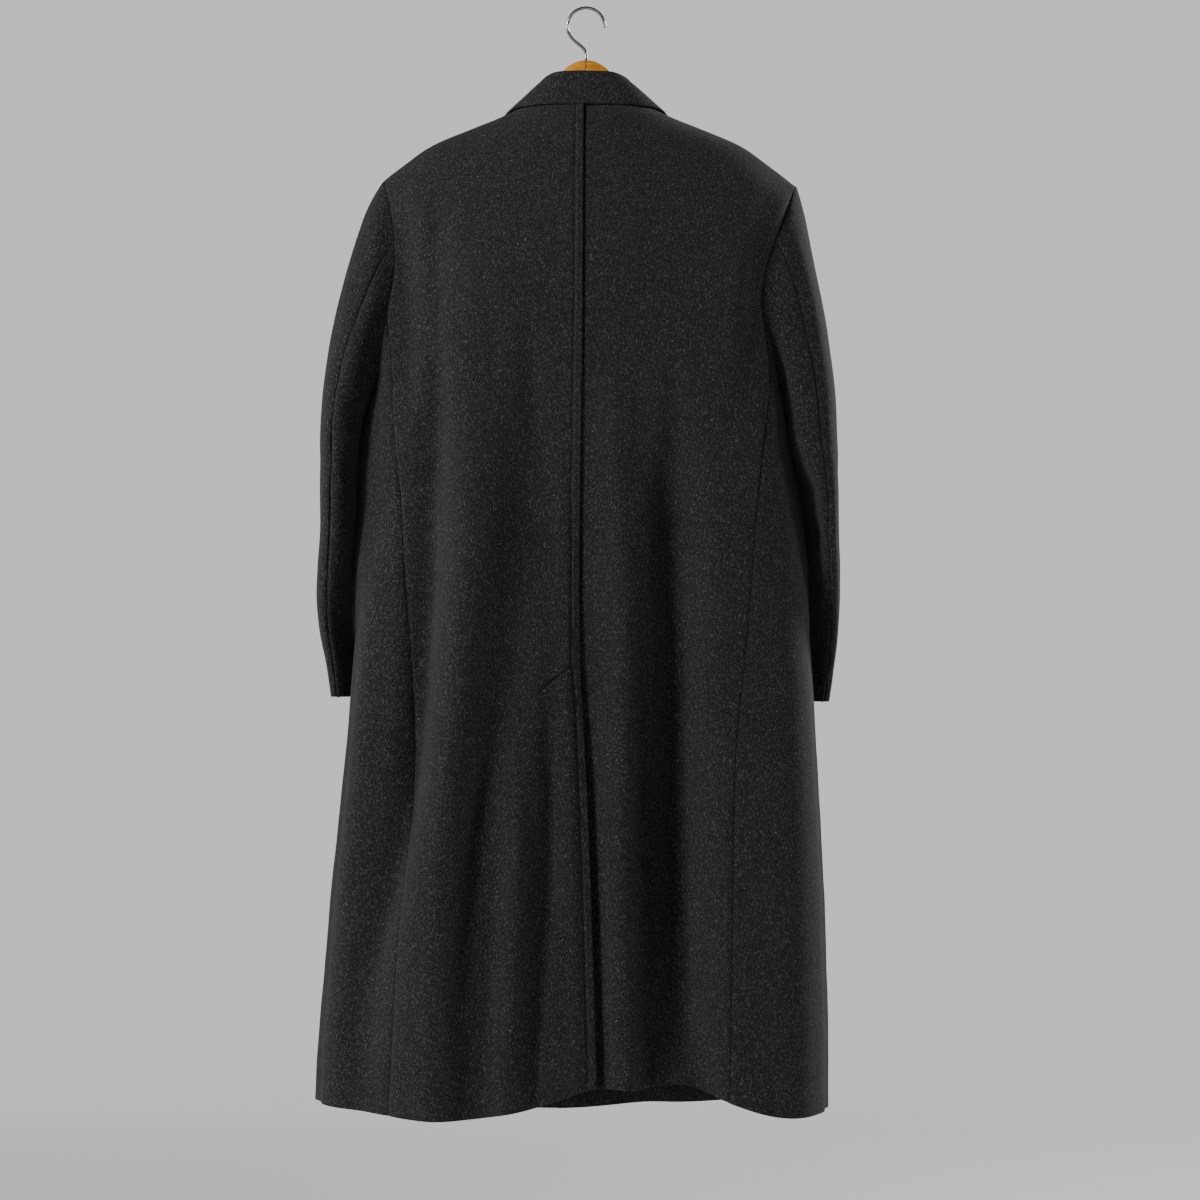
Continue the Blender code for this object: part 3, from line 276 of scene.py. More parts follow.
def points_of(mesh):
    points = np.zeros(len(mesh.vertices) * 3, np.float32)
    mesh.vertices.foreach_get("co", points)
    return points.reshape(-1, 3).astype(float)


def place_points(mesh, points):
    mesh.vertices.foreach_set("co", points.astype(np.float32).ravel())
    mesh.update()


def skin_of(mesh, weld=False):
    """A mesh to edit, with a solid's loose triangles joined if asked."""
    skin = bmesh.new()
    skin.from_mesh(mesh)
    if weld:
        bmesh.ops.remove_doubles(skin, verts=skin.verts, dist=WELD)
    return skin


def tree_of(points):
    tree = kdtree.KDTree(len(points))
    for index, point in enumerate(points):
        tree.insert(point, index)
    tree.balance()
    return tree


def mark_skins(skin, heart):
    """Marks each face as 1 on the outer skin, 2 on the inner one and 0 on the wall's edge.

    Sharp edges part the faces into islands. The two largest are the skins, and the one that faces
    away from the heart is the outer one.
    """
    skins = skin.faces.layers.int.new("skin")
    crease = skin.edges.layers.float["crease_edge"]
    islands, seen = [], set()
    for first in skin.faces:
        if first in seen:
            continue
        seen.add(first)
        island, ahead = [], [first]
        while ahead:
            face = ahead.pop()
            island.append(face)
            for edge in face.edges:
                if edge[crease] < 0.5:
                    for other in edge.link_faces:
                        if other not in seen:
                            seen.add(other)
                            ahead.append(other)
        islands.append(island)
    islands.sort(key=lambda faces: -sum(f.calc_area() for f in faces))
    away = []
    for faces in islands[:2]:
        centres = [(f, f.calc_center_median()) for f in faces]
        away.append(sum(f.calc_area() * (f.normal.x * (centre.x - heart[0])
                                         + f.normal.y * (centre.y - heart[1]))
                        for f, centre in centres))
    outer = int(np.argmax(away))
    for number, faces in enumerate(islands[:2]):
        for face in faces:
            face[skins] = 1 if number == outer else 2


def shell_of(node, name, level, heart=None):
    """A copy of a solid's skin, smoothed so that it still passes through the solid's corners."""
    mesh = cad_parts[node].data.copy()
    mesh.name = name
    piece = add_object(name, mesh)
    skin = skin_of(mesh, weld=True)
    bmesh.ops.join_triangles(skin, faces=skin.faces, angle_face_threshold=FLAT_TURN,
                             angle_shape_threshold=SKEW_TURN)
    crease = skin.edges.layers.float.new("crease_edge")
    for edge in skin.edges:
        turned = len(edge.link_faces) == 2 and edge.calc_face_angle() > RIM_TURN
        edge[crease] = 1.0 if turned else 0.0
    if heart:
        mark_skins(skin, heart)
    for face in skin.faces:
        face.smooth = True
    skin.to_mesh(mesh)
    skin.free()
    smoothing = piece.modifiers.new("smoothing", "SUBSURF")
    smoothing.levels = smoothing.render_levels = 1
    wanted = points_of(mesh)
    cage = wanted.copy()
    for _ in range(FIT_ROUNDS):
        place_points(mesh, cage)
        bpy.context.view_layer.update()
        smooth = piece.evaluated_get(bpy.context.evaluated_depsgraph_get())
        cage += (wanted - points_of(smooth.data)[:len(wanted)]) * FIT_SHARE
    place_points(mesh, cage)
    smoothing.levels = smoothing.render_levels = level
    pick(piece)
    bpy.ops.object.modifier_apply(modifier="smoothing")
    return piece


def plain_rims(skin, skins):
    """Takes out the rows that smoothing left along the thickness of the wall."""
    inside = {v for v in skin.verts if all(f[skins] == 0 for f in v.link_faces)}
    along = []
    for edge in skin.edges:
        a, b = edge.verts
        if a in inside and b in inside:
            rungs = [e for e in a.link_edges if e.other_vert(a) not in inside or e is not edge]
            step = (b.co - a.co).length
            others = [e.calc_length() for e in rungs]
            if step > LONG_RUNG * min(others):
                along.append(edge)
    bmesh.ops.dissolve_edges(skin, edges=along, use_verts=True)


def refine(skin, measure, band, spacing):
    """Cuts the edges that run across a line until the rows near it are this close together."""
    for _ in range(4):
        far = {v: measure(v.co) for v in skin.verts}
        cut = [e for e in skin.edges
               if abs(far[e.verts[0]] - far[e.verts[1]]) > spacing
               and min(abs(far[e.verts[0]]), abs(far[e.verts[1]])) < band]
        if not cut:
            break
        bmesh.ops.subdivide_edges(skin, edges=cut, cuts=1, use_grid_fill=True)


def beside(flat, line):
    """Distance of flat points from a line, how far along it they are, and the line's own runs."""
    line = np.array(line)
    steps = np.linalg.norm(np.diff(line, axis=0), axis=1)
    runs = np.concatenate([[0], np.cumsum(steps)])
    best, at = np.full(len(flat), FAR_AWAY), np.zeros(len(flat))
    for i, (start, end) in enumerate(zip(line[:-1], line[1:])):
        t = np.clip(((flat - start) @ (end - start)) / steps[i] ** 2, 0, 1)
        gap = np.linalg.norm(flat - (start + t[:, None] * (end - start)), axis=1)
        nearer = gap < best
        best[nearer], at[nearer] = gap[nearer], (runs[i] + t * steps[i])[nearer]
    return best, at, runs


def crease_lift(creases, points, ways):
    """Lift of the creases at each point."""
    lift = np.zeros(len(points))
    sides = {"back": (0, (0, 1)), "front": (0, (0, -1)),
             "left": (1, (1, 0)), "right": (1, (-1, 0))}
    for side, half, line in creases:
        axis, facing = sides[side]
        seen = np.clip(ways[:, 0] * facing[0] + ways[:, 1] * facing[1], 0, 1) ** 0.5
        line = np.array(line)
        gap, at, runs = beside(points[:, [axis, 2]], line[:, :2])
        lift += np.interp(at, runs, line[:, 2]) * seen * np.exp(-(gap / half) ** 2)
    return lift


def body_ways(points):
    """Which way the body's cloth faces at each point, the same on both sides of a seam."""
    x, y, z = points.T
    rows = BODY_SECTION
    left, right, back, front = (np.interp(z, rows[:, 0], rows[:, k]) for k in (1, 2, 3, 4))
    wide, deep = np.where(x > 0, left, right), np.where(y > 0, back, front)
    way = np.stack((np.sign(x) * (np.abs(x) / wide) ** 1.6 / wide,
                    np.sign(y) * (np.abs(y) / deep) ** 1.6 / deep, 0 * x), 1)
    return unit(way)


def sleeve_ways(side):
    """The same for a sleeve, from the middle line of its two solids."""
    points = np.concatenate([points_of(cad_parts[f"sleeve_{part}_{side}"].data)
                             for part in ("upper", "under")])
    levels = np.linspace(points[:, 2].min() + 0.02, points[:, 2].max() - 0.02, 14)
    rows = []
    for z in levels:
        near = points[np.abs(points[:, 2] - z) < 0.035]
        low, high = near.min(0), near.max(0)
        rows.append((z, *((low + high) / 2)[:2], *((high - low) / 2)[:2]))
    rows = np.array(rows)

    def ways(at):
        x, y, wide, deep = (np.interp(at[:, 2], rows[:, 0], rows[:, k]) for k in (1, 2, 3, 4))
        return unit(np.stack(((at[:, 0] - x) / wide ** 2, (at[:, 1] - y) / deep ** 2, 0 * x), 1))
    return ways


def over_tack(point):
    """Distance across the slanting row of stitches, or far away past its ends."""
    start, end = (np.array(p) for p in VENT_TACK)
    way = (end - start) / np.linalg.norm(end - start)
    off = np.array((point[0], point[2])) - start
    run = off @ way
    if not -0.004 < run < np.linalg.norm(end - start) + 0.004:
        return FAR_AWAY
    return float(off[0] * way[1] - off[1] * way[0])


def lap_at(z):
    """Where the lapped edge runs at this height."""
    return float(across_at(CENTRE_EDGE, z))


def relieve(piece, seams, armhole, own, other):
    """Moves both skins of a cloth piece together: creases, drawn-in seams, a light unevenness.

    own and other are (creases, ways) of the piece and of what it is sewn to at the armhole.
    """
    over, under = (piece.name.startswith(name) for name in ("back_left", "back_right"))
    skin = skin_of(piece.data)
    plain_rims(skin, skin.faces.layers.int["skin"])
    if over:
        refine(skin, lambda p: p.x - lap_at(p.z) - STRIP_WIDTH, *STRIP_ROWS)
        refine(skin, over_tack, *TACK_ROWS)
    if under:
        refine(skin, lambda p: p.x - lap_at(p.z), *UNDER_ROWS)
    skin.to_mesh(piece.data)
    skin.free()
    points = points_of(piece.data)
    near = np.array([armhole.find(p)[2] for p in points])
    shared = np.exp(-(near / ARMHOLE_SOFT) ** 2) / 2
    way = unit(own[1](points) * (1 - shared[:, None]) + other[1](points) * shared[:, None])
    lift = (crease_lift(own[0], points, way) * (1 - shared)
            + crease_lift(other[0], points, way) * shared)
    if seams is not None:
        near = np.array([seams.find(p)[2] for p in points])
        lift -= SEAM_DIP * np.exp(-(near / SEAM_WIDTH) ** 2)
    lift += np.array([sum(height * noise.noise(Vector(p) * fine) for height, fine in UNEVEN)
                      for p in points])
    if over:
        off = points[:, 0] - across_at(CENTRE_EDGE, points[:, 2])
        lift += STRIP_RISE * np.clip((STRIP_WIDTH - off) / STRIP_EASE, 0, 1) * (off > -0.004)
        lift -= GROOVE_DEEP * np.exp(-((off - STRIP_WIDTH) / GROOVE_WIDE) ** 2)
        tack = beside(points[:, [0, 2]], VENT_TACK)[0]
        lift -= TACK_DEEP * np.exp(-(tack / GROOVE_WIDE) ** 2)
    if under:
        off = across_at(CENTRE_EDGE, points[:, 2]) - points[:, 0]
        rise = np.interp(points[:, 2], *UNDER_STRIP)
        swell = rise * np.clip(off / UNDER_STEP, 0, 1) * np.exp(-(off / UNDER_WIDE) ** 2)
        dip = np.minimum(rise, 0) * np.exp(-(off / UNDER_REACH) ** 2)
        lift += np.where(off > 0, swell, dip)
    place_points(piece.data, points + way * lift[:, None])


def same_layer(name, other):
    """Whether two pieces are a left and right pair, which lap or lie apart and aren't sewn."""
    return name[:4] == other[:4] and not name.startswith("sleeve")


def close_seams(pieces):
    """Draws the facing edges of sewn pieces together, skin to skin, each by half of the gap."""
    lines, corners = {}, {}
    for piece in pieces:
        skin = skin_of(piece.data)
        skins = skin.faces.layers.int["skin"]
        for layer in (1, 2):
            edges = [e for e in skin.edges if {f[skins] for f in e.link_faces} == {0, layer}]
            lines[piece.name, layer] = np.array([a.co.lerp(b.co, t)
                                                 for a, b in (e.verts for e in edges)
                                                 for t in np.linspace(0, 1, 6)])
            corners[piece.name, layer] = sorted({v.index for e in edges for v in e.verts})
        skin.free()
    for piece in pieces:
        points = points_of(piece.data)
        moved = points.copy()
        for layer in (1, 2):
            others = tree_of(np.concatenate([found for (name, kind), found in lines.items()
                                             if kind == layer and name != piece.name
                                             and not same_layer(name, piece.name)]))
            for index in corners[piece.name, layer]:
                there, _, gap = others.find(points[index])
                if gap < SEAM_REACH:
                    moved[index] = points[index] + (np.array(there) - points[index]) * 0.5
        place_points(piece.data, moved)


def seam_points():
    """Points along every sewn seam, where two cloth solids' edges meet, and along the armholes."""
    rims = {}
    for node in PANELS:
        skin = skin_of(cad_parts[node].data, weld=True)
        edges = [e for e in skin.edges if len(e.link_faces) == 2 and e.calc_face_angle() > RIM_TURN]
        rims[node] = np.array([a.co.lerp(b.co, t) for e in edges for a, b in [e.verts]
                               for t in np.linspace(0, 1, max(2, int(e.calc_length() / RIM_STEP)))])
        skin.free()
    found, armholes = {}, {}
    for node, mine in rims.items():
        others = tree_of(np.concatenate([r for n, r in rims.items() if n != node]))
        sewn = [p for p in mine if others.find(p)[2] < SEAM_NEAR]
        found[node] = tree_of(sewn) if sewn else None
    body = tree_of(np.concatenate([r for n, r in rims.items()
                                   if n.startswith(("back", "side", "front"))]))
    for side in ("left", "right"):
        sleeve = np.concatenate([rims[f"sleeve_upper_{side}"], rims[f"sleeve_under_{side}"]])
        armholes[side] = tree_of([p for p in sleeve if body.find(p)[2] < 3 * SEAM_NEAR])
    return found, armholes


def surface_of(piece):
    skin = skin_of(piece.data)
    tree = BVHTree.FromBMesh(skin)
    skin.free()
    return tree


def round_edges(piece, width):
    """Rounds the sharp edges, and lays back any corner that the rounding pushed off the surface."""
    before = surface_of(piece)
    finish_with(piece, "rounding", "BEVEL", width=width, segments=2, limit_method="ANGLE",
                angle_limit=math.radians(50), use_clamp_overlap=False)
    for vert in piece.data.vertices:
        there, _, _, gap = before.find_nearest(vert.co)
        if gap > width * 0.55:
            vert.co = there


# The collar's leaf: how far back and how low it starts. Its fall: top, depth, half width and move
LEAF_BACK, LEAF_TOP = 0.012, -0.085
FALL_TOP, FALL_DEEP, FALL_HALF, FALL_MOVE = -0.082, 0.036, 0.042, (0, 0.0022, -0.0030)

# The lapel's foot: where it begins to settle, over what height, and its move inwards, out and down
FOOT_TOP, FOOT_DEEP, FOOT_MOVE = -0.345, 0.068, (-0.0075, -0.0006, -0.0175)


def settle_collar(piece):
    """The middle of the leaf hangs a little lower, so that its edge runs nearly straight."""
    points = points_of(piece.data)
    leaf = (points[:, 1] > LEAF_BACK) & (points[:, 2] < LEAF_TOP)
    low = np.clip((FALL_TOP - points[:, 2]) / FALL_DEEP, 0, 1)
    drop = leaf * low * np.exp(-(points[:, 0] / FALL_HALF) ** 2)
    points += np.outer(drop, FALL_MOVE)
    place_points(piece.data, points)


def settle_lapel(piece):
    """The foot of the lapel runs on towards the lowest point of the opening."""
    points = points_of(piece.data)
    foot = np.clip((FOOT_TOP - points[:, 2]) / FOOT_DEEP, 0, 1) ** 2
    inwards, out, down = FOOT_MOVE
    points += foot[:, None] * np.array((inwards * np.sign(points[:, 0].mean()), out, down))
    place_points(piece.data, points)


# ---- finishes ----
def new_material(name):
    material = bpy.data.materials.new(name)
    material.use_nodes = True
    tree = material.node_tree
    return material, tree, tree.nodes["Principled BSDF"]


def link_in(tree, source, output, target, socket):
    tree.links.new(source.outputs[output], target.inputs[socket])


def add_node(tree, kind, **inputs):
    made = tree.nodes.new(kind)
    for key, value in inputs.items():
        made.inputs[key].default_value = value
    return made


def placed(tree, scale=(1, 1, 1), turn=(0, 0, 0)):
    where = tree.nodes.new("ShaderNodeTexCoord")
    mapping = add_node(tree, "ShaderNodeMapping", Scale=scale, Rotation=turn)
    link_in(tree, where, "Object", mapping, "Vector")
    return mapping


def grain(tree, where, scale, detail=2.0, rough=0.5, twist=0.0):
    made = add_node(tree, "ShaderNodeTexNoise", Scale=scale, Detail=detail, Roughness=rough,
                    Distortion=twist)
    link_in(tree, where, "Vector", made, "Vector")
    return made


def ramp(tree, source, output, stops):
    made = tree.nodes.new("ShaderNodeValToRGB")
    bar = made.color_ramp
    while len(bar.elements) < len(stops):
        bar.elements.new(0.5)
    for element, (at, shade) in zip(bar.elements, stops):
        element.position = at
        element.color = (*shade, 1) if isinstance(shade, tuple) else (shade, shade, shade, 1)
    link_in(tree, source, output, made, "Fac")
    return made


def blended(tree, kind, factor, first, second):
    """A mix of two colours; each is a node's colour or a plain one."""
    made = tree.nodes.new("ShaderNodeMix")
    made.data_type, made.blend_type = "RGBA", kind
    for socket, value in ((0, factor), (6, first), (7, second)):
        if isinstance(value, tuple) and hasattr(value[0], "outputs"):
            tree.links.new(value[0].outputs[value[1]], made.inputs[socket])
        elif isinstance(value, tuple):
            made.inputs[socket].default_value = (*value, 1)
        else:
            made.inputs[socket].default_value = value
    return made


def roughen(tree, shader, source, stops):
    link_in(tree, ramp(tree, source, "Fac", stops), "Color", shader, "Roughness")


def raise_up(tree, shader, source, output, strength, distance):
    """A bump from this output."""
    bump = add_node(tree, "ShaderNodeBump", Strength=strength, Distance=distance)
    link_in(tree, source, output, bump, "Height")
    link_in(tree, bump, "Normal", shader, "Normal")


def make_wool():
    """Nearly black ground, with broken pale fibres and a few specks of lint."""
    wool, tree, shader = new_material("fulled_wool")
    shader.inputs["Specular IOR Level"].default_value = 0.16
    shader.inputs["Sheen Weight"].default_value = 0.12
    shader.inputs["Sheen Roughness"].default_value = 0.45
    shader.inputs["Sheen Tint"].default_value = (0.60, 0.60, 0.62, 1)
    lie = placed(tree, scale=(1, 1, 0.55))
    curls = grain(tree, lie, 540, detail=2.0, rough=0.5, twist=0.6)
    fibre = ramp(tree, curls, "Fac", ((0.445, 0.0), (0.492, 1.0), (0.508, 1.0), (0.555, 0.0)))
    patches = grain(tree, lie, 640, detail=1.0)
    broken = ramp(tree, patches, "Fac", ((0.46, 0.0), (0.62, 1.0)))
    fibres = blended(tree, "MULTIPLY", 1.0, (fibre, "Color"), (broken, "Color"))
    fuzz = grain(tree, placed(tree, scale=(1, 1, 0.7)), 900, detail=3.0, rough=0.7)
    ground = ramp(tree, fuzz, "Fac", ((0.30, (0.0060, 0.0058, 0.0060)),
                                      (0.52, (0.0128, 0.0124, 0.0127)),
                                      (0.72, (0.0335, 0.0328, 0.0326))))
    cloud = ramp(tree, grain(tree, placed(tree), 9, detail=3.0), "Fac", ((0.3, 0.86), (0.7, 1.14)))
    body = blended(tree, "MULTIPLY", 1.0, (ground, "Color"), (cloud, "Color"))
    fleck = blended(tree, "MIX", (fibres, 2), (body, 2), (0.108, 0.105, 0.104))
    specks = tree.nodes.new("ShaderNodeTexVoronoi")
    specks.inputs["Scale"].default_value = 60
    link_in(tree, placed(tree), "Vector", specks, "Vector")
    lint = ramp(tree, specks, "Distance", ((0.035, 1.0), (0.06, 0.0)))
    colour = blended(tree, "MIX", (lint, "Color"), (fleck, 2), (0.16, 0.155, 0.15))
    link_in(tree, colour, 2, shader, "Base Color")
    roughen(tree, shader, fuzz, ((0.3, 0.98), (0.7, 0.82)))
    nap = ramp(tree, fuzz, "Fac", ((0.2, 0.0), (0.8, 1.0)))
    raise_up(tree, shader, blended(tree, "ADD", 0.8, (nap, "Color"), (fibres, 2)), 2, 0.75, 0.0006)
    return wool


def make_thread():
    thread, tree, shader = new_material("charcoal_thread")
    shader.inputs["Specular IOR Level"].default_value = 0.3
    twist = grain(tree, placed(tree, turn=(0, 0.6, 0)), 1500, detail=1.0)
    colour = ramp(tree, twist, "Fac", ((0.35, (0.010, 0.010, 0.010)),
                                       (0.65, (0.026, 0.025, 0.024))))
    link_in(tree, colour, "Color", shader, "Base Color")
    roughen(tree, shader, twist, ((0.3, 0.7), (0.7, 0.5)))
    raise_up(tree, shader, twist, "Fac", 0.5, 0.0002)
    return thread


def make_wood():
    wood, tree, shader = new_material("varnished_maple")
    shader.inputs["Coat Weight"].default_value = 0.3
    shader.inputs["Coat Roughness"].default_value = 0.14
    lines = grain(tree, placed(tree, scale=(0.06, 1, 1)), 420, detail=4.0, rough=0.6, twist=0.4)
    tone = ramp(tree, lines, "Fac", ((0.30, (0.42, 0.140, 0.010)),
                                     (0.50, (0.74, 0.290, 0.022)),
                                     (0.70, (0.90, 0.400, 0.040))))
    cloud = ramp(tree, grain(tree, placed(tree, scale=(0.3, 1, 1)), 18, detail=2.0), "Fac",
                 ((0.3, 0.88), (0.7, 1.08)))
    colour = blended(tree, "MULTIPLY", 1.0, (tone, "Color"), (cloud, "Color"))
    link_in(tree, colour, 2, shader, "Base Color")
    roughen(tree, shader, lines, ((0.3, 0.46), (0.7, 0.34)))
    raise_up(tree, shader, lines, "Fac", 0.25, 0.0003)
    return wood


def make_glue():
    glue, tree, shader = new_material("dark_glue")
    spots = grain(tree, placed(tree), 500, detail=2.0)
    colour = ramp(tree, spots, "Fac", ((0.35, (0.020, 0.009, 0.003)),
                                       (0.65, (0.060, 0.028, 0.010))))
    link_in(tree, colour, "Color", shader, "Base Color")
    roughen(tree, shader, spots, ((0.3, 0.6), (0.7, 0.4)))
    return glue


def make_steel():
    steel, tree, shader = new_material("plated_steel")
    shader.inputs["Metallic"].default_value = 1.0
    drawn = grain(tree, placed(tree, scale=(1, 1, 0.3)), 900, detail=3.0)
    colour = ramp(tree, drawn, "Fac", ((0.3, (0.24, 0.24, 0.245)), (0.7, (0.36, 0.36, 0.36))))
    link_in(tree, colour, "Color", shader, "Base Color")
    roughen(tree, shader, drawn, ((0.3, 0.30), (0.7, 0.18)))
    raise_up(tree, shader, drawn, "Fac", 0.12, 0.0002)
    return steel


def make_horn():
    horn, tree, shader = new_material("dark_horn")
    shader.inputs["Coat Weight"].default_value = 0.12
    shader.inputs["Coat Roughness"].default_value = 0.3
    streak = grain(tree, placed(tree, scale=(1, 1, 0.35), turn=(0, 0.5, 0)), 160, detail=4.0,
                   twist=1.2)
    colour = ramp(tree, streak, "Fac", ((0.35, (0.006, 0.005, 0.005)),
                                        (0.55, (0.020, 0.016, 0.013)),
                                        (0.75, (0.070, 0.048, 0.032))))
    link_in(tree, colour, "Color", shader, "Base Color")
    roughen(tree, shader, streak, ((0.3, 0.28), (0.7, 0.42)))
    raise_up(tree, shader, streak, "Fac", 0.15, 0.0002)
    return horn


def stand_for(piece, node):
    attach(piece, "root")
    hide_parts(node)


# ---- cloth ----
WOOL, THREAD, WOOD, STEEL, HORN = make_wool(), make_thread(), make_wood(), make_steel(), make_horn()
GLUE = make_glue()
SEAMS, ARMHOLES = seam_points()
cloth = {}
for node, panel in PANELS.items():
    piece = shell_of(node, node + "_cloth", panel.level, panel.heart)
    side = node.split("_")[-1]
    if "collar" in node or "lapel" in node:
        armhole = ARMHOLES["left"]      # either one would do, as no crease reaches these pieces
        own = other = ((), body_ways)
    else:
        armhole = ARMHOLES[side]
        own, other = (BODY_CREASES, body_ways), (SLEEVE_CREASES[side], sleeve_ways(side))
        if "sleeve" in node:
            own, other = other, own
    relieve(piece, SEAMS[node], armhole, own, other)
    cloth[node] = piece
close_seams([cloth[node] for node in PANELS
             if node.startswith(("back", "side", "front", "sleeve"))])
settle_collar(cloth["collar"])
settle_lapel(cloth["lapel_left"])
settle_lapel(cloth["lapel_right"])
for node, piece in cloth.items():
    round_edges(piece, EDGE_ROUND)
    dress(piece, WOOL)
    stand_for(piece, node)


# ---- sewing ----
BARREL, TIP = 0.55, 0.225   # shares of a stitch's length: its straight middle, and each end
TIP_DROP, TIP_THIN = 0.35, 0.35     # its ends lie lower and are thinner, as shares of its thickness
STITCH_PROUD = 0.28         # share of the thickness by which its middle stands off the cloth
STITCHED = (-0.116, -1.262, -0.02)  # the row beside the strip: top, foot, and step down


def select_faces(obj, wanted):
    """In edit mode, selects only the faces for which wanted says yes."""
    bpy.ops.mesh.select_all(action="DESELECT")
    shape = bmesh.from_edit_mesh(obj.data)
    for face in shape.faces:
        face.select_set(wanted(face))
    bmesh.update_edit_mesh(obj.data)


def one_stitch(length, thick):
    """A short plump stitch along X, made once and copied."""
    deselect()
    bpy.ops.mesh.primitive_cylinder_add(vertices=6, radius=thick / 2, depth=length * BARREL,
                                        rotation=(0, math.radians(90), 0))
    stitch = bpy.context.object
    bpy.ops.object.transform_apply(location=True, rotation=True, scale=True)
    bpy.ops.object.mode_set(mode="EDIT")
    for side in (-1, 1):
        select_faces(stitch, lambda face: face.normal.x * side > 0.9)
        bpy.ops.mesh.extrude_region_move(
            TRANSFORM_OT_translate={"value": (side * length * TIP, 0, -thick * TIP_DROP)})
        bpy.ops.transform.resize(value=(1, TIP_THIN, TIP_THIN),
                                 center_override=(side * length / 2, 0, -thick * TIP_DROP))
    bpy.ops.object.mode_set(mode="OBJECT")
    return stitch


def sew(name, rail, surface, facing, thick=STITCH_THICK, step=STITCH_STEP, length=STITCH_LONG):
    """A row of stitches along a rail of (across, height) points, laid on the cloth."""
    pattern = one_stitch(length, thick)
    rail = np.array(rail)
    runs = np.concatenate([[0], np.cumsum(np.linalg.norm(np.diff(rail, axis=0), axis=1))])
    count = int((runs[-1] - length) / step) + 1
    row = bmesh.new()

    def on_cloth(run):
        x, z = (float(np.interp(run, runs, rail[:, k])) for k in (0, 1))
        return surface.ray_cast(Vector((x, facing, z)), Vector((0, -facing, 0)))[:2]

    for k in range(count):
        middle = length / 2 + k * step
        (here, out), (before, _), (after, _) = (
            on_cloth(middle + d) for d in (0, -length / 2, length / 2))
        if here is None or before is None or after is None:
            continue
        out = out if out.y * facing > 0 else -out
        along = (after - before).normalized()
        side = out.cross(along).normalized()
        out = along.cross(side)
        place = here + out * (thick * STITCH_PROUD)
        copy = pattern.data.copy()
        for vert in copy.vertices:
            vert.co = place + along * vert.co.x + side * vert.co.y + out * vert.co.z
        row.from_mesh(copy)
        bpy.data.meshes.remove(copy)
    mesh = bpy.data.meshes.new(name)
    for face in row.faces:
        face.smooth = True
    row.to_mesh(mesh)
    row.free()
    bpy.data.objects.remove(pattern)
    made = add_object(name, mesh)
    dress(made, THREAD)
    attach(made, "root")


back_cloth, front_cloth = surface_of(cloth["back_left"]), surface_of(cloth["front_left"])
sew("centre_back_stitching", [(lap_at(z) + STRIP_WIDTH, z) for z in np.arange(*STITCHED)],
    back_cloth, 1)
sew("vent_tack", VENT_TACK, back_cloth, 1)


# ---- buttons and buttonholes ----
def make_button():
    """A four-hole button facing up: a dished face inside a rounded rim."""
    deselect()
    bpy.ops.mesh.primitive_cylinder_add(vertices=48, radius=BUTTON_WIDE / 2, depth=BUTTON_THICK)
    button = bpy.context.object
    bpy.ops.object.mode_set(mode="EDIT")
    select_faces(button, lambda face: face.normal.z > 0.9)
    bpy.ops.mesh.inset(thickness=RIM_WIDE)
    bpy.ops.mesh.inset(thickness=SLOPE_WIDE)
    bpy.ops.transform.translate(value=(0, 0, -DISH_DEEP))
    bpy.ops.mesh.inset(thickness=FLOOR_INSET)
    bpy.ops.transform.translate(value=(0, 0, -FLOOR_DEEP))
    bpy.ops.object.mode_set(mode="OBJECT")
    for across in (-1, 1):
        for up in (-1, 1):
            deselect()
            bpy.ops.mesh.primitive_cylinder_add(
                vertices=16, radius=HOLE_WIDE / 2, depth=0.02,
                location=(across * HOLE_APART / 2, up * HOLE_APART / 2, 0))
            drill = bpy.context.object
            finish_with(button, "hole", "BOOLEAN", operation="DIFFERENCE", object=drill,
                        solver="EXACT")
            bpy.data.objects.remove(drill)
    finish_with(button, "rounding", "BEVEL", width=BUTTON_ROUND, segments=3, limit_method="ANGLE",
                angle_limit=math.radians(30))
    pick(button)
    bpy.ops.object.shade_smooth_by_angle(angle=math.radians(40))
    return button


def make_cross():
    """Two crossed pairs of loops of thread through the holes."""
    loops = bmesh.new()
    for turn, high in ((math.radians(45), LOOP_HIGH), (math.radians(-45), LOOP_LOW)):
        for off in (-LOOP_APART, LOOP_APART):
            pattern = one_stitch(HOLE_APART * LOOP_SHARE, LOOP_THICK)
            for vert in pattern.data.vertices:
                x, y, z = vert.co.x, vert.co.y + off, vert.co.z + high
                vert.co = (x * math.cos(turn) - y * math.sin(turn),
                           x * math.sin(turn) + y * math.cos(turn), z)
            loops.from_mesh(pattern.data)
            bpy.data.objects.remove(pattern)
    mesh = bpy.data.meshes.new("cross")
    loops.to_mesh(mesh)
    loops.free()
    made = add_object("cross", mesh)
    finish_with(made, "smoothing", "SUBSURF", levels=1, render_levels=1)
    return made


def place_copy(pattern, name, where, across, up, out, material):
    mesh = pattern.data.copy()
    for vert in mesh.vertices:
        vert.co = where + across * vert.co.x + up * vert.co.y + out * vert.co.z
    mesh.name = name
    made = add_object(name, mesh)
    dress(made, material)
    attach(made, "root")
    return made


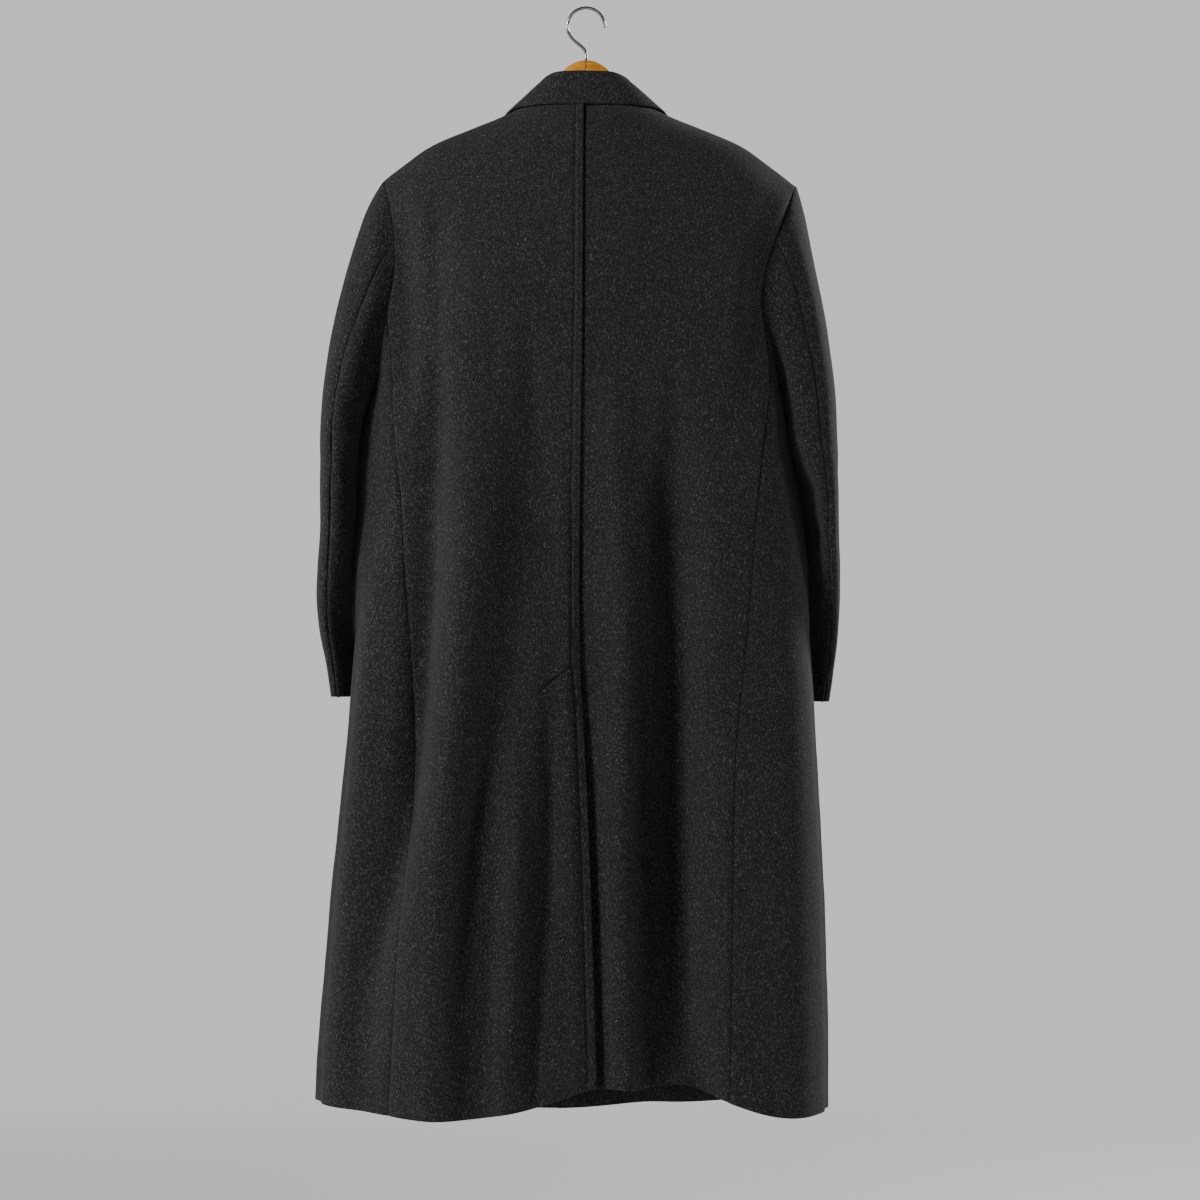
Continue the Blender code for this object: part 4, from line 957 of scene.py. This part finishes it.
button_pattern, cross_pattern = make_button(), make_cross()
for number in (1, 2, 3):
    low, high = (np.array(corner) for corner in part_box(f"button_{number}"))
    x, z = float(low[0] + high[0]) / 2, float(low[2] + high[2]) / 2
    seat, out = front_cloth.ray_cast(Vector((x, -1, z)), Vector((0, 1, 0)))[:2]
    out = out if out.y < 0 else -out
    out = (out + Vector((0, -2, 0))).normalized()   # it faces forwards more than the cloth does
    up = (Vector((0, 0, 1)) - out * out.z).normalized()
    across = up.cross(out)
    middle = seat + out * (BUTTON_THICK / 2 + BUTTON_LIFT)
    made = place_copy(button_pattern, f"button_{number}_horn", middle, across, up, out, HORN)
    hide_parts(f"button_{number}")
    place_copy(cross_pattern, f"button_{number}_thread",
               middle + out * (BUTTON_THICK / 2 - LOOP_SUNK), across, up, out, THREAD)
    for edge, lift in (("upper", SLIT_HALF), ("lower", -SLIT_HALF)):
        sew(f"buttonhole_{number}_{edge}", ((x + SLIT_START, z + lift), (x + SLIT_END, z + lift)),
            front_cloth, -1, thick=SLIT_STITCH[0], step=SLIT_STITCH[1], length=SLIT_STITCH[2])
bpy.data.objects.remove(button_pattern)
bpy.data.objects.remove(cross_pattern)

# ---- hanger ----
GLUE_HALF, GLUE_SPREAD = 0.0007, 1.012      # half thickness, and how far it stands out of the wood

for node, material, slot in (("hanger_left", WOOD, "wood"), ("hanger_right", WOOD, "wood"),
                             ("hook", STEEL, "steel")):
    piece = shell_of(node, node + "_turned", 2)
    if slot == "wood":
        round_edges(piece, WOOD_ROUND)
    dress(piece, material)
    stand_for(piece, node)


def joint_line():
    """The dark line of glue between the hanger's halves."""
    skin = skin_of(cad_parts["hanger_left"].data, weld=True)
    ends = {f for f in skin.faces if f.normal.x < -0.9 and f.calc_center_median().x < 0.002}
    bmesh.ops.delete(skin, geom=[f for f in skin.faces if f not in ends], context="FACES")
    middle = sum((v.co for v in skin.verts), Vector()) / len(skin.verts)
    for vert in skin.verts:
        vert.co = middle + (vert.co - middle) * GLUE_SPREAD
        vert.co.x = GLUE_HALF
    made = bmesh.ops.extrude_face_region(skin, geom=skin.faces[:])
    for part in made["geom"]:
        if isinstance(part, bmesh.types.BMVert):
            part.co.x = -GLUE_HALF
    bmesh.ops.recalc_face_normals(skin, faces=skin.faces)
    mesh = bpy.data.meshes.new("hanger_joint")
    skin.to_mesh(mesh)
    skin.free()
    piece = add_object("hanger_joint", mesh)
    dress(piece, GLUE)
    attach(piece, "root")


joint_line()

# ---- floor, light and camera ----
PALE = (0.74, 0.74, 0.735)
AMBIENT = (0.003, 0.003, 0.003)
FLOOR_LEVEL, FLOOR_RADIUS = -1.66, 14
EYE, LENS, SENSOR = (-0.0165, 6.0, -0.697), 152.5, 36

# Lights at the back: name, place, height they face, size, watts. The front has the same ones
LIGHTS = (("key", (3.2, 2.8, 1.0), -0.6, 1.1, 184),
          ("graze", (-4.3, 0.3, 0.5), -0.7, 1.0, 60),
          ("fill", (-0.6, 5.0, 1.2), -0.7, 1.6, 9))

deselect()
bpy.ops.mesh.primitive_circle_add(vertices=96, radius=FLOOR_RADIUS, fill_type="NGON",
                                  location=(0, 0, FLOOR_LEVEL))
floor = bpy.context.object
floor.name = "floor"
floor_paint, tree, shader = new_material("pale_floor")
shader.inputs["Base Color"].default_value = (*PALE, 1)
shader.inputs["Roughness"].default_value = 0.85
far = tree.nodes.new("ShaderNodeTexGradient")
far.gradient_type = "QUADRATIC_SPHERE"
link_in(tree, placed(tree, scale=(0.16, 0.16, 0.16)), "Vector", far, "Vector")
glow = add_node(tree, "ShaderNodeEmission", Color=(*PALE, 1))
ground = tree.nodes.new("ShaderNodeMixShader")
link_in(tree, ramp(tree, far, "Fac", ((0.12, 0.0), (0.55, 1.0))), "Color", ground, "Fac")
link_in(tree, glow, "Emission", ground, 1)
link_in(tree, shader, "BSDF", ground, 2)
link_in(tree, ground, "Shader", tree.nodes["Material Output"], "Surface")
dress(floor, floor_paint)

view = bpy.data.cameras.new("view")
view.lens, view.sensor_width = LENS, SENSOR
eye = add_object("view", view)
eye.location = EYE
eye.rotation_euler = (math.radians(90), 0, math.radians(180))
bpy.context.scene.camera = eye

world = bpy.context.scene.world or bpy.data.worlds.new("studio")
bpy.context.scene.world = world
world.use_nodes = True
sky = world.node_tree
backdrop = sky.nodes["Background"]
backdrop.inputs["Color"].default_value = (*PALE, 1)
ambient = add_node(sky, "ShaderNodeBackground", Color=(*AMBIENT, 1))
ray, both = sky.nodes.new("ShaderNodeLightPath"), sky.nodes.new("ShaderNodeMixShader")
link_in(sky, ray, "Is Camera Ray", both, "Fac")
link_in(sky, ambient, "Background", both, 1)
link_in(sky, backdrop, "Background", both, 2)
link_in(sky, both, "Shader", sky.nodes["World Output"], "Surface")


def soft_light(name, place, aim, size, watts):
    lamp = bpy.data.lights.new(name, "AREA")
    lamp.size, lamp.energy = size, watts
    obj = add_object(name, lamp)
    obj.location = place
    obj.rotation_euler = (Vector(aim) - Vector(place)).to_track_quat("-Z", "Y").to_euler()


for prefix, turn in (("", 1), ("front_", -1)):
    for name, (x, y, z), level, size, watts in LIGHTS:
        soft_light(prefix + name, (x * turn, y * turn, z), (0, 0, level), size, watts)
